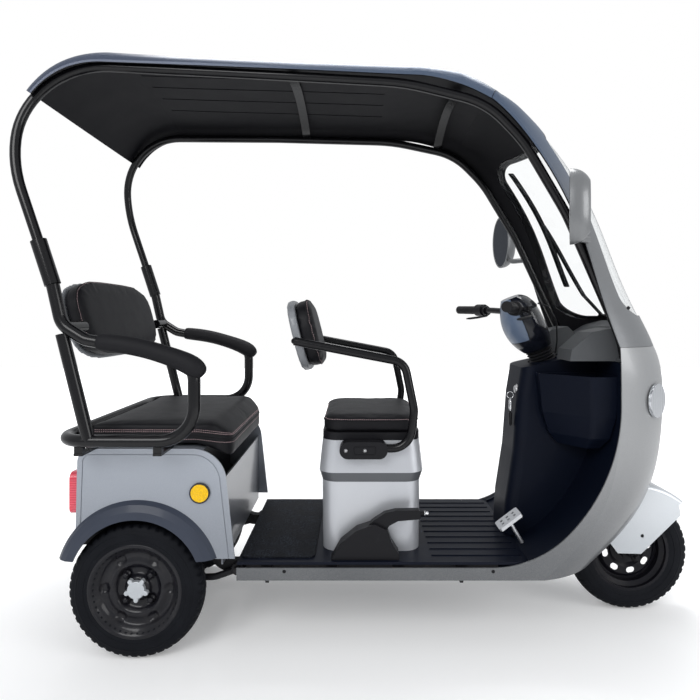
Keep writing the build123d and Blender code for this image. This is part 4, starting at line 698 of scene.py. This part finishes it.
# %% Armrest sleeves
# Columns: X, Z, radius. The front end droops and swells, and the rear end is cut square.
SLEEVE = [(-0.806, 0.938, 0.022), (-0.800, 0.937, 0.026), (-0.74, 0.931, 0.027), (-0.68, 0.920, 0.0265),
          (-0.62, 0.902, 0.027), (-0.575, 0.886, 0.029), (-0.546, 0.872, 0.031), (-0.528, 0.859, 0.029),
          (-0.517, 0.849, 0.022), (-0.512, 0.844, 0.012)]
SLEEVE_Y = 0.399    # of the arm rail, from the middle
SLEEVE_SIDES = 28
FLATTER_BELOW = 0.92
SIDES = (("left", 1), ("right", -1))

for side_name, side in SIDES:
    points = []
    for i, (x, z, radius) in enumerate(SLEEVE):
        before, after = SLEEVE[max(0, i - 1)], SLEEVE[min(len(SLEEVE) - 1, i + 1)]
        way = Vector((after[0] - before[0], 0, after[1] - before[1])).normalized()
        up = Vector((-way.z, 0, way.x))
        for k in range(SLEEVE_SIDES):
            turn = 2 * pi * k / SLEEVE_SIDES
            tall = 1.0 if sin(turn) > 0 else FLATTER_BELOW
            points.append(Vector((x, side * SLEEVE_Y, z)) + Vector((0, radius * cos(turn), 0))
                          + up * radius * tall * sin(turn))
    ends = (len(SLEEVE) - 1) * SLEEVE_SIDES
    faces = skin(0, len(SLEEVE), SLEEVE_SIDES)
    faces += [tuple(reversed(range(SLEEVE_SIDES))), tuple(range(ends, ends + SLEEVE_SIDES))]
    sleeve = linked(f"armrest_sleeve_{side_name}", from_points("sleeve", points, faces))
    subdivide(sleeve, 2)
    piece(sleeve.name, sleeve, SOFT_RUBBER, "chassis", ["armrest_pads"] if side > 0 else [])
print("armrest sleeves made")

# %% Piping and stitches
bench_tree, saddle_tree, back_tree = surface(bench), surface(saddle), surface(backs)
bench_half = [(-0.872, 0.296, 0.652), (-0.56, 0.300, 0.652), (-0.52, 0.298, 0.648), (-0.48, 0.275, 0.640),
              (-0.459, 0.235, 0.634)]
bench_seam = bench_half + [(x, -y, z) for x, y, z in reversed(bench_half)]
SADDLE_X, SADDLE_SEAM_Z = -0.039, 0.682
saddle_seam = [(SADDLE_X + x, y, SADDLE_SEAM_Z) for x, y in rounded_outline(0.318, 0.426, 0.056)]


def back_seam(middle, tilt, half_wide, half_high, square, count=72):
    """Loop round a backrest pad, 10 mm behind its front face."""
    up, out = leaning(tilt)
    loop = []
    for k in range(count):
        wide, high = pad_edge(k, count, half_wide, half_high, square)
        loop.append(middle - out * 0.010 + Vector((0, wide, 0)) + up * high)
    return loop + [loop[0].copy()]


bench_back_seam = back_seam(BENCH_BACK, BENCH_TILT, 0.300, 0.130, BENCH_SQUARE)
rider_seam = back_seam(RIDER_BACK, RIDER_TILT, 0.168, 0.121, RIDER_SQUARE)
for name, tree, route, body in (("bench_piping", bench_tree, bench_seam, "bench_seat"),
                                ("saddle_piping", saddle_tree, saddle_seam, "driver_seat"),
                                ("bench_back_piping", back_tree, bench_back_seam, "chassis"),
                                ("rider_back_piping", back_tree, rider_seam, "chassis")):
    cord = sweep([lay_on(tree, route, 0.0004, 0.009)], 0.0024)
    piece(name, from_points(name, *cord), SOFT_RUBBER, body)

THREAD_LIFT = 0.0002  # above the vinyl
bench_rows = [[(x + ahead, y, z + lift) for x, y, z in bench_seam]
              for ahead, lift in ((0.004, 0.014), (0.004, 0.020), (0.0, -0.010))]
back_rows = [[p + Vector((0.006, 0, 0.0)) for p in loop] for loop in (bench_back_seam, rider_seam)]
saddle_rows = [[(x, y, z + 0.008) for x, y, z in saddle_seam]]
for name, tree, rows, radius, body in (("backrest_stitches", back_tree, back_rows, 0.0007, "chassis"),
                                       ("bench_stitches", bench_tree, bench_rows, 0.0009, "bench_seat"),
                                       ("saddle_stitches", saddle_tree, saddle_rows, 0.0008, "driver_seat")):
    thread = [bit for row in rows for bit in stitches(tree, row, THREAD_LIFT)]
    piece(name, from_points(name, *sweep(thread, radius, 5)), THREAD, body)
    print(name, len(thread))

# %% [markdown]
# ## Tyres
# A tyre is a ring of sections. The tread's depth at each place comes from where the place is:
# a straight groove each side of the middle, small cuts between them, and slots between the
# shoulder blocks.

# %% Tyre sections: distance across from the middle, radius
TYRE_HALF = [(0, 200), (3, 200), (6.5, 199.8), (7.5, 199.7), (11.5, 199.3), (12.5, 199.1), (16, 198.4),
             (20, 197.3), (24, 195.8), (28, 193.6), (31, 191), (33, 188), (34.6, 184.5), (36.4, 177),
             (37.2, 172.4), (37.9, 172), (37.9, 170), (37.4, 169.6), (38, 165), (37.7, 157),
             (37.3, 152.4), (37.9, 152), (37.6, 150), (36.6, 149.4), (35, 140), (32.5, 132), (29, 127)]
BLOCKS = 46
BLOCK_STEPS = 8
STATIONS = BLOCKS * BLOCK_STEPS
LAST_FLAT = 10  # the first faces of a section, up to this one, are shaded flat
FRONT_WHEEL = (0.855, 0, 0.2)
REAR_WHEEL = {side: (-0.737, side * 0.28, 0.2) for _, side in SIDES}


def on_wheel(centre, turn, across, radius):
    """The point at that turn from the top, distance across and radius."""
    return (centre[0] + radius * sin(turn), centre[1] + across, centre[2] + radius * cos(turn))


def tread_depth(across, station):
    """How deep the groove is there, in millimetres. The right half is moved on by half a block."""
    shift = (station + (0 if across > 0 else BLOCK_STEPS // 2)) % BLOCK_STEPS
    if 11.0 < abs(across) < 12.9:
        return 3.2
    if abs(across) < 7.0:
        return 1.8 if shift == 3 and abs(across) > 2 else 0.0
    if 12.9 <= abs(across) < 34.8:
        return 4.2 * min(1, (36 - abs(across)) / 8) if shift in (0, 1, 2) else 0.0
    return 0.0


def tyre(name, centre, node, body):
    half = [(a / 1000, r / 1000) for a, r in TYRE_HALF]
    section = [(-a, r) for a, r in reversed(half[1:])] + half
    points, faces = [], []
    for station in range(STATIONS):
        turn = 2 * pi * station / STATIONS
        for across, radius in section:
            radius -= tread_depth(across * 1000, station) / 1000
            points.append(on_wheel(centre, turn, across, radius))
    count = len(section)
    for station in range(STATIONS):
        one, two = station * count, (station + 1) % STATIONS * count
        for k in range(count - 1):
            faces.append((one + k, two + k, two + k + 1, one + k + 1))
        faces.append((one + count - 1, two + count - 1, two, one))
    item = piece(name, from_points(name, points, faces), TYRE, body, [node], smooth=False)
    item.data.polygons.foreach_set("use_smooth", [f[0] % count > LAST_FLAT for f in faces])
    return item


made = tyre("front_tyre_tread", FRONT_WHEEL, "front_tyre", "front_wheel")
for side_name, side in SIDES:
    tyre(f"rear_tyre_tread_{side_name}", REAR_WHEEL[side], f"rear_tyre_{side_name}", f"rear_wheel_{side_name}")
print("three tyres of", len(made.data.polygons), "faces")

# %% [markdown]
# ## Nuts, bolts and small fittings
# Small things of one body share a mesh. `studs` puts a domed hexagonal head on a washer at each
# place of a table. Wheel nuts, a valve and a bright ring finish the rims.

# %% Studs and rings
ROUND = 24


def studs(places, size, height, sides=6):
    """A washer, a head with flats and a small dome at each place. Columns: place, way it faces."""
    points, faces = [], []
    # Share of the size, share of the height, and sides of the section: ROUND is a plain circle.
    steps = [(1.35, 0, ROUND), (1.35, 0.22, ROUND), (1.0, 0.24, sides), (1.0, 0.8, sides), (0.86, 1.0, ROUND),
             (0.3, 1.12, ROUND)]
    for spot, facing in places:
        spot, way = Vector(spot), Vector(facing).normalized()
        one = way.orthogonal().normalized()
        two = way.cross(one)
        start = len(points)
        for share, rise, flats in steps:
            for k in range(ROUND):
                turn = 2 * pi * k / ROUND
                flat = 1
                if flats == sides:
                    flat = cos(pi / sides) / cos((turn + pi / sides) % (2 * pi / sides) - pi / sides)
                points.append(spot + way * height * rise
                              + (one * cos(turn) + two * sin(turn)) * size * share * flat)
        faces += skin(start, len(steps), ROUND)
        faces.append(tuple(start + (len(steps) - 1) * ROUND + k for k in range(ROUND)))
    return points, faces


def ring_route(centre, radius, count=96):
    ring = [on_wheel(centre, 2 * pi * k / count, 0, radius) for k in range(count)]
    return ring + ring[:1]


# Pressed steel rim: from the inner lip, through the well, to the outer lip, then the dished plate.
# Columns: distance outboard of the middle, radius.
RIM_BACK = [(-35, 138), (-34, 140), (-32, 138), (-30, 130), (-24, 127), (-20, 116), (12, 114), (20, 118),
            (24, 127), (30, 130), (32, 137.5), (34, 139.8), (35.5, 139), (35, 134), (32.5, 127.5), (26, 124),
            (22, 116), (14, 110)]
RIM_PLATE = [(9, 106), (8.5, 101), (8.5, 94), (10, 88), (12.5, 82), (13, 76), (9, 69), (2, 64), (-3, 60),
             (-4, 54), (-4, 46), (-3, 40), (4, 37), (10, 33), (12, 29), (12.4, 24), (12.4, 10), (12.4, 2)]
RIM_STATIONS = 240
DIMPLE_STATIONS = 40      # from one round dimple to the next, so six in all
DIMPLE_CIRCLE, DIMPLE_RADIUS, DIMPLE_DEPTH = 0.096, 0.0155, 0.006
LOBES = 4                 # pressed round the nuts
LOBE_FROM, LOBE_TO, LOBE_DEPTH = 0.034, 0.072, 0.0045


def pressed_rim(name, centre, side, node, body):
    section = [(a / 1000, r / 1000, table is RIM_PLATE) for table in (RIM_BACK, RIM_PLATE) for a, r in table]
    points, faces = [], []
    for station in range(RIM_STATIONS):
        turn = 2 * pi * station / RIM_STATIONS
        for across, radius, plate in section:
            if plate:
                near = (station % DIMPLE_STATIONS - DIMPLE_STATIONS // 2) * 2 * pi / RIM_STATIONS * radius
                dimple = max(0.0, 1 - (near ** 2 + (radius - DIMPLE_CIRCLE) ** 2) / DIMPLE_RADIUS ** 2)
                across -= DIMPLE_DEPTH * dimple ** 0.5
                if LOBE_FROM < radius < LOBE_TO:
                    across -= LOBE_DEPTH * max(0.0, cos(LOBES * (turn - radians(45)))) ** 1.5
            points.append(on_wheel(centre, turn, side * across, radius))
    count = len(section)
    for station in range(RIM_STATIONS):
        one, two = station * count, (station + 1) % RIM_STATIONS * count
        for k in range(count - 1):
            face = (one + k, two + k, two + k + 1, one + k + 1)
            faces.append(face if side < 0 else face[::-1])
    piece(name, from_points(name, points, faces), WHEEL_BLACK, body, [node])


NUT_CIRCLE = 0.052
for side_name, side in SIDES:
    body = f"rear_wheel_{side_name}"
    hub = REAR_WHEEL[side]
    pressed_rim(f"pressed_rim_{side_name}", hub, side, f"rear_rim_{side_name}", body)
    nuts = [((hub[0] + NUT_CIRCLE * cos(radians(45 + 90 * k)), hub[1] - side * 0.004,
              hub[2] + NUT_CIRCLE * sin(radians(45 + 90 * k))), (0, side, 0)) for k in range(4)]
    nuts = studs(nuts, 0.0092, 0.015)
    piece(f"wheel_nuts_{side_name}", from_points("nuts", *nuts), WHEEL_BLACK, body)
    valve = sweep([[(hub[0] - 0.062, hub[1] + side * 0.010, hub[2] + 0.098),
                    (hub[0] - 0.058, hub[1] + side * 0.030, hub[2] + 0.090)]], 0.0035, 12)
    piece(f"valve_{side_name}", from_points("valve", *valve), SOFT_RUBBER, body)
    edge = sweep([ring_route((hub[0], hub[1] + side * 0.0315, hub[2]), 0.1375)], 0.0014)
    piece(f"rim_edge_{side_name}", from_points("edge", *edge), CHROME, body)
print("wheel fittings made")

# %% Levers, key, brake button and cover frames
levers = sweep([[(0.415, side * 0.236, 1.030), (0.440, side * 0.250, 1.021), (0.436, side * 0.285, 1.012),
                 (0.410, side * 0.325, 1.005), (0.384, side * 0.352, 1.001), (0.372, side * 0.362, 1.000)]
                for _, side in SIDES], 0.0045, 10)
piece("brake_levers", from_points("levers", *levers), BLACK, "steering")

KEY_X, KEY_Y = 0.438, -0.052
ring = sweep([ring_route((KEY_X, KEY_Y, 0.742), 0.011, 32)], 0.0011, 6)
piece("key_ring", from_points("ring", *ring), CHROME, "chassis")
lock = studs([((0.462, KEY_Y, 0.762), (-1, 0, 0))], 0.013, 0.010, ROUND)
piece("key_lock", from_points("lock", *lock), STEEL, "chassis")

# Hanging fobs, flat along X. Levels: height, share of the width.
FOB_SIDES, FOB_FLATNESS = 20, 0.55
for name, width, levels, material, slot in (
        ("key_capsule", 0.0085, ((0.727, 0.6), (0.722, 1), (0.697, 1), (0.690, 0.6)), CHROME, "bright_silver"),
        ("key_fob", 0.0105, ((0.686, 0.5), (0.680, 1), (0.646, 1), (0.638, 0.5)), BLACK, "black_plastic")):
    points = [(KEY_X + FOB_FLATNESS * width * share * cos(2 * pi * k / FOB_SIDES),
               KEY_Y + width * share * sin(2 * pi * k / FOB_SIDES), z)
              for z, share in levels for k in range(FOB_SIDES)]
    faces = skin(0, len(levels), FOB_SIDES)
    faces += [tuple(range(FOB_SIDES)), tuple(reversed(range(len(points) - FOB_SIDES, len(points))))]
    piece(name, from_points(name, points, faces), material, "chassis")

button = studs([((0.121, -0.253, 0.410), (1, 0, 0))], 0.0055, 0.012, ROUND)
piece("brake_button", from_points("button", *button), CHROME, "chassis")

COVER_X, COVER_Z = -0.060, 0.602  # middle of the cover over each end of the rider's hoop
frames = sweep([[(COVER_X + x, side * 0.2625, COVER_Z + z) for x, z in rounded_outline(0.066, 0.024, 0.006)]
                for _, side in SIDES], 0.0012, 6)
piece("cover_frames", from_points("frames", *frames), BLACK, "chassis")
screws = studs([((x, side * 0.2615, COVER_Z), (0, side, 0)) for _, side in SIDES for x in (COVER_X, -0.118)],
               0.0042, 0.004)
piece("cover_screws", from_points("screws", *screws), STEEL, "chassis")
SILL_Z = 0.252
plugs = [((x, side * 0.2945, SILL_Z), (0, side, 0)) for _, side in SIDES for x in (0.32, -0.30)]
plugs += [((0.724, side * 0.2885, 1.034), (0, side, 0)) for _, side in SIDES]  # on the pillars' feet
plugs = studs(plugs, 0.004, 0.003, ROUND)
piece("sill_plugs", from_points("plugs", *plugs), BLACK, "chassis")
print("small fittings made")

# %% [markdown]
# ## A softer front corner of the roof
# Roof, frame and lining meet in a slight corner above the windscreen. Copies of the three are
# eased there, so that the roof runs into the frame in one bow. The flange's lower edge stays.

# %% Ease the corner
# Rows by X: how far the crest moves, in millimetres, then the flange's edge and the crest, as heights.
EASE = [(0.00, 0.0), (0.107, 8.0), (0.228, 10.0), (0.285, -2.0), (0.343, -20.0), (0.410, -8.0), (0.480, 0.0)]
EDGE = [(0.00, 1.721), (0.06, 1.720), (0.192, 1.704), (0.316, 1.655), (0.415, 1.555), (0.496, 1.439)]
CREST = [(0.00, 1.773), (0.062, 1.771), (0.206, 1.761), (0.345, 1.741), (0.490, 1.655), (0.612, 1.533)]


def between(table, x):
    """Value of a table at x, in straight steps from one row to the next."""
    if x <= table[0][0]:
        return table[0][1]
    for (x0, v0), (x1, v1) in zip(table, table[1:]):
        if x < x1:
            t = (x - x0) / (x1 - x0)
            return v0 + (v1 - v0) * t
    return table[-1][1]


SHORT_ENOUGH = 0.022    # longer edges near the corner are cut before the crest moves
CUT_TO, CUT_ABOVE = 0.52, 1.4
EASED_TO, EASED_ABOVE = 0.48, 1.45
FULL_BELOW_CREST = 0.03  # the whole of EASE applies this close under the crest
SHARP_ANGLE = 32


def eased(node, material):
    work = bmesh.new()
    work.from_mesh(NODES[node].data)
    for _ in range(3):
        long = [e for e in work.edges if e.calc_length() > SHORT_ENOUGH
                and 0.0 < (e.verts[0].co.x + e.verts[1].co.x) / 2 < CUT_TO
                and max(v.co.z for v in e.verts) > CUT_ABOVE]
        bmesh.ops.subdivide_edges(work, edges=long, cuts=1)
    bmesh.ops.triangulate(work, faces=[f for f in work.faces if len(f.verts) > 4])
    for v in work.verts:
        if 0.0 < v.co.x < EASED_TO and v.co.z > EASED_ABOVE:
            edge, crest = between(EDGE, v.co.x), between(CREST, v.co.x)
            share = max(0.0, min(1.0, (v.co.z - edge) / (crest - edge - FULL_BELOW_CREST)))
            v.co.z += between(EASE, v.co.x) / 1000 * share * share * (3 - 2 * share)
    mesh = bpy.data.meshes.new(node)
    work.to_mesh(mesh)
    work.free()
    piece(f"eased_{node}", mesh, material, "chassis", [node])
    mesh.set_sharp_from_angle(angle=radians(SHARP_ANGLE))


eased("roof_panel", TURNING)
eased("windscreen_frame", TURNING)
eased("cabin_linings", LINING)
print("roof corner eased")

# %% [markdown]
# ## Studio
# A pale floor, a white surround, three broad soft lamps and a camera just below the grips,
# looking straight across the vehicle. The surround shows white behind the glass too.

# %% Floor and surround
FLOOR_REACH = 9.0
FADE = (1.2, 4.5)  # the floor turns from lit to plain white over these distances from the middle


def stage_floor():
    corners = [(x * FLOOR_REACH, y * FLOOR_REACH, 0) for x, y in ((-1, -1), (1, -1), (1, 1), (-1, 1))]
    floor = linked("studio_floor", from_points("studio_floor", corners, [(0, 1, 2, 3)]))
    finish = Finish("studio_floor", Roughness=0.9, Specular_IOR_Level=0.0)
    seen = finish.node("ShaderNodeLightPath", output="Is Camera Ray")
    across, along = finish.axis("X"), finish.axis("Y")
    distance = (across * across + along * along) ** 0.5
    finish.feed("Base Color", finish.blend(finish.grain(1.5, 1.0), (0.90, 0.90, 0.90), (0.93, 0.93, 0.93)))
    glow = seen * distance.ramp(*FADE, 0.16, 1.0)
    finish.feed("Emission Color", finish.blend(glow, (0, 0, 0), (1, 1, 1)))
    finish.feed("Emission Strength", 1.0)
    dress(floor, finish.material)


def surround():
    world = bpy.data.worlds.new("white_surround")
    bpy.context.scene.world = world
    sky = Finish("white_surround", world)
    seen = sky.node("ShaderNodeLightPath", output="Is Camera Ray")
    through = sky.node("ShaderNodeLightPath", output="Is Transmission Ray")
    light = sky.node("ShaderNodeBackground", None, {"Color": (0.95, 0.97, 1.0), "Strength": 0.62})
    shown = sky.node("ShaderNodeBackground", None, {"Color": (1, 1, 1), "Strength": 1.0})
    either = sky.node("ShaderNodeMixShader", None, {0: seen.most(through), 1: light, 2: shown})
    sky.node("ShaderNodeOutputWorld", None, {"Surface": either})


def soft_lamp(name, at, aim, size, power):
    data = bpy.data.lights.new(name, "AREA")
    data.shape, data.energy = "RECTANGLE", power
    data.size, data.size_y = size
    lamp = linked(name, data)
    lamp.location = at
    lamp.rotation_euler = (Vector(aim) - Vector(at)).to_track_quat("-Z", "Y").to_euler()


stage_floor()
surround()
soft_lamp("key_lamp", (-1.6, -3.6, 3.0), (0, 0, 0.7), (2.4, 1.8), 85)
soft_lamp("fill_lamp", (3.4, -2.2, 1.8), (0.3, 0, 0.7), (2.0, 2.0), 45)
soft_lamp("top_lamp", (0.0, 0.6, 3.6), (0, 0, 0.8), (2.6, 1.6), 85)
print("studio lit")

# %% Camera
PICTURE = 700              # width and height in pixels
FOCAL = 558                # focal length in the same pixels
SHIFT_X, SHIFT_Y = -5, -33  # of the picture's middle
view = bpy.data.cameras.new("side_view")
view.sensor_width = 36
view.lens = FOCAL / PICTURE * view.sensor_width
view.shift_x, view.shift_y = SHIFT_X / PICTURE, SHIFT_Y / PICTURE
camera = linked("side_view", view)
camera.location = (-0.090, -1.950, 1.007)
camera.rotation_euler = (radians(90), 0, 0)
bpy.context.scene.camera = camera
bpy.context.scene.view_settings.view_transform = "Standard"
print("camera", tuple(camera.location), "lens", round(view.lens, 1))
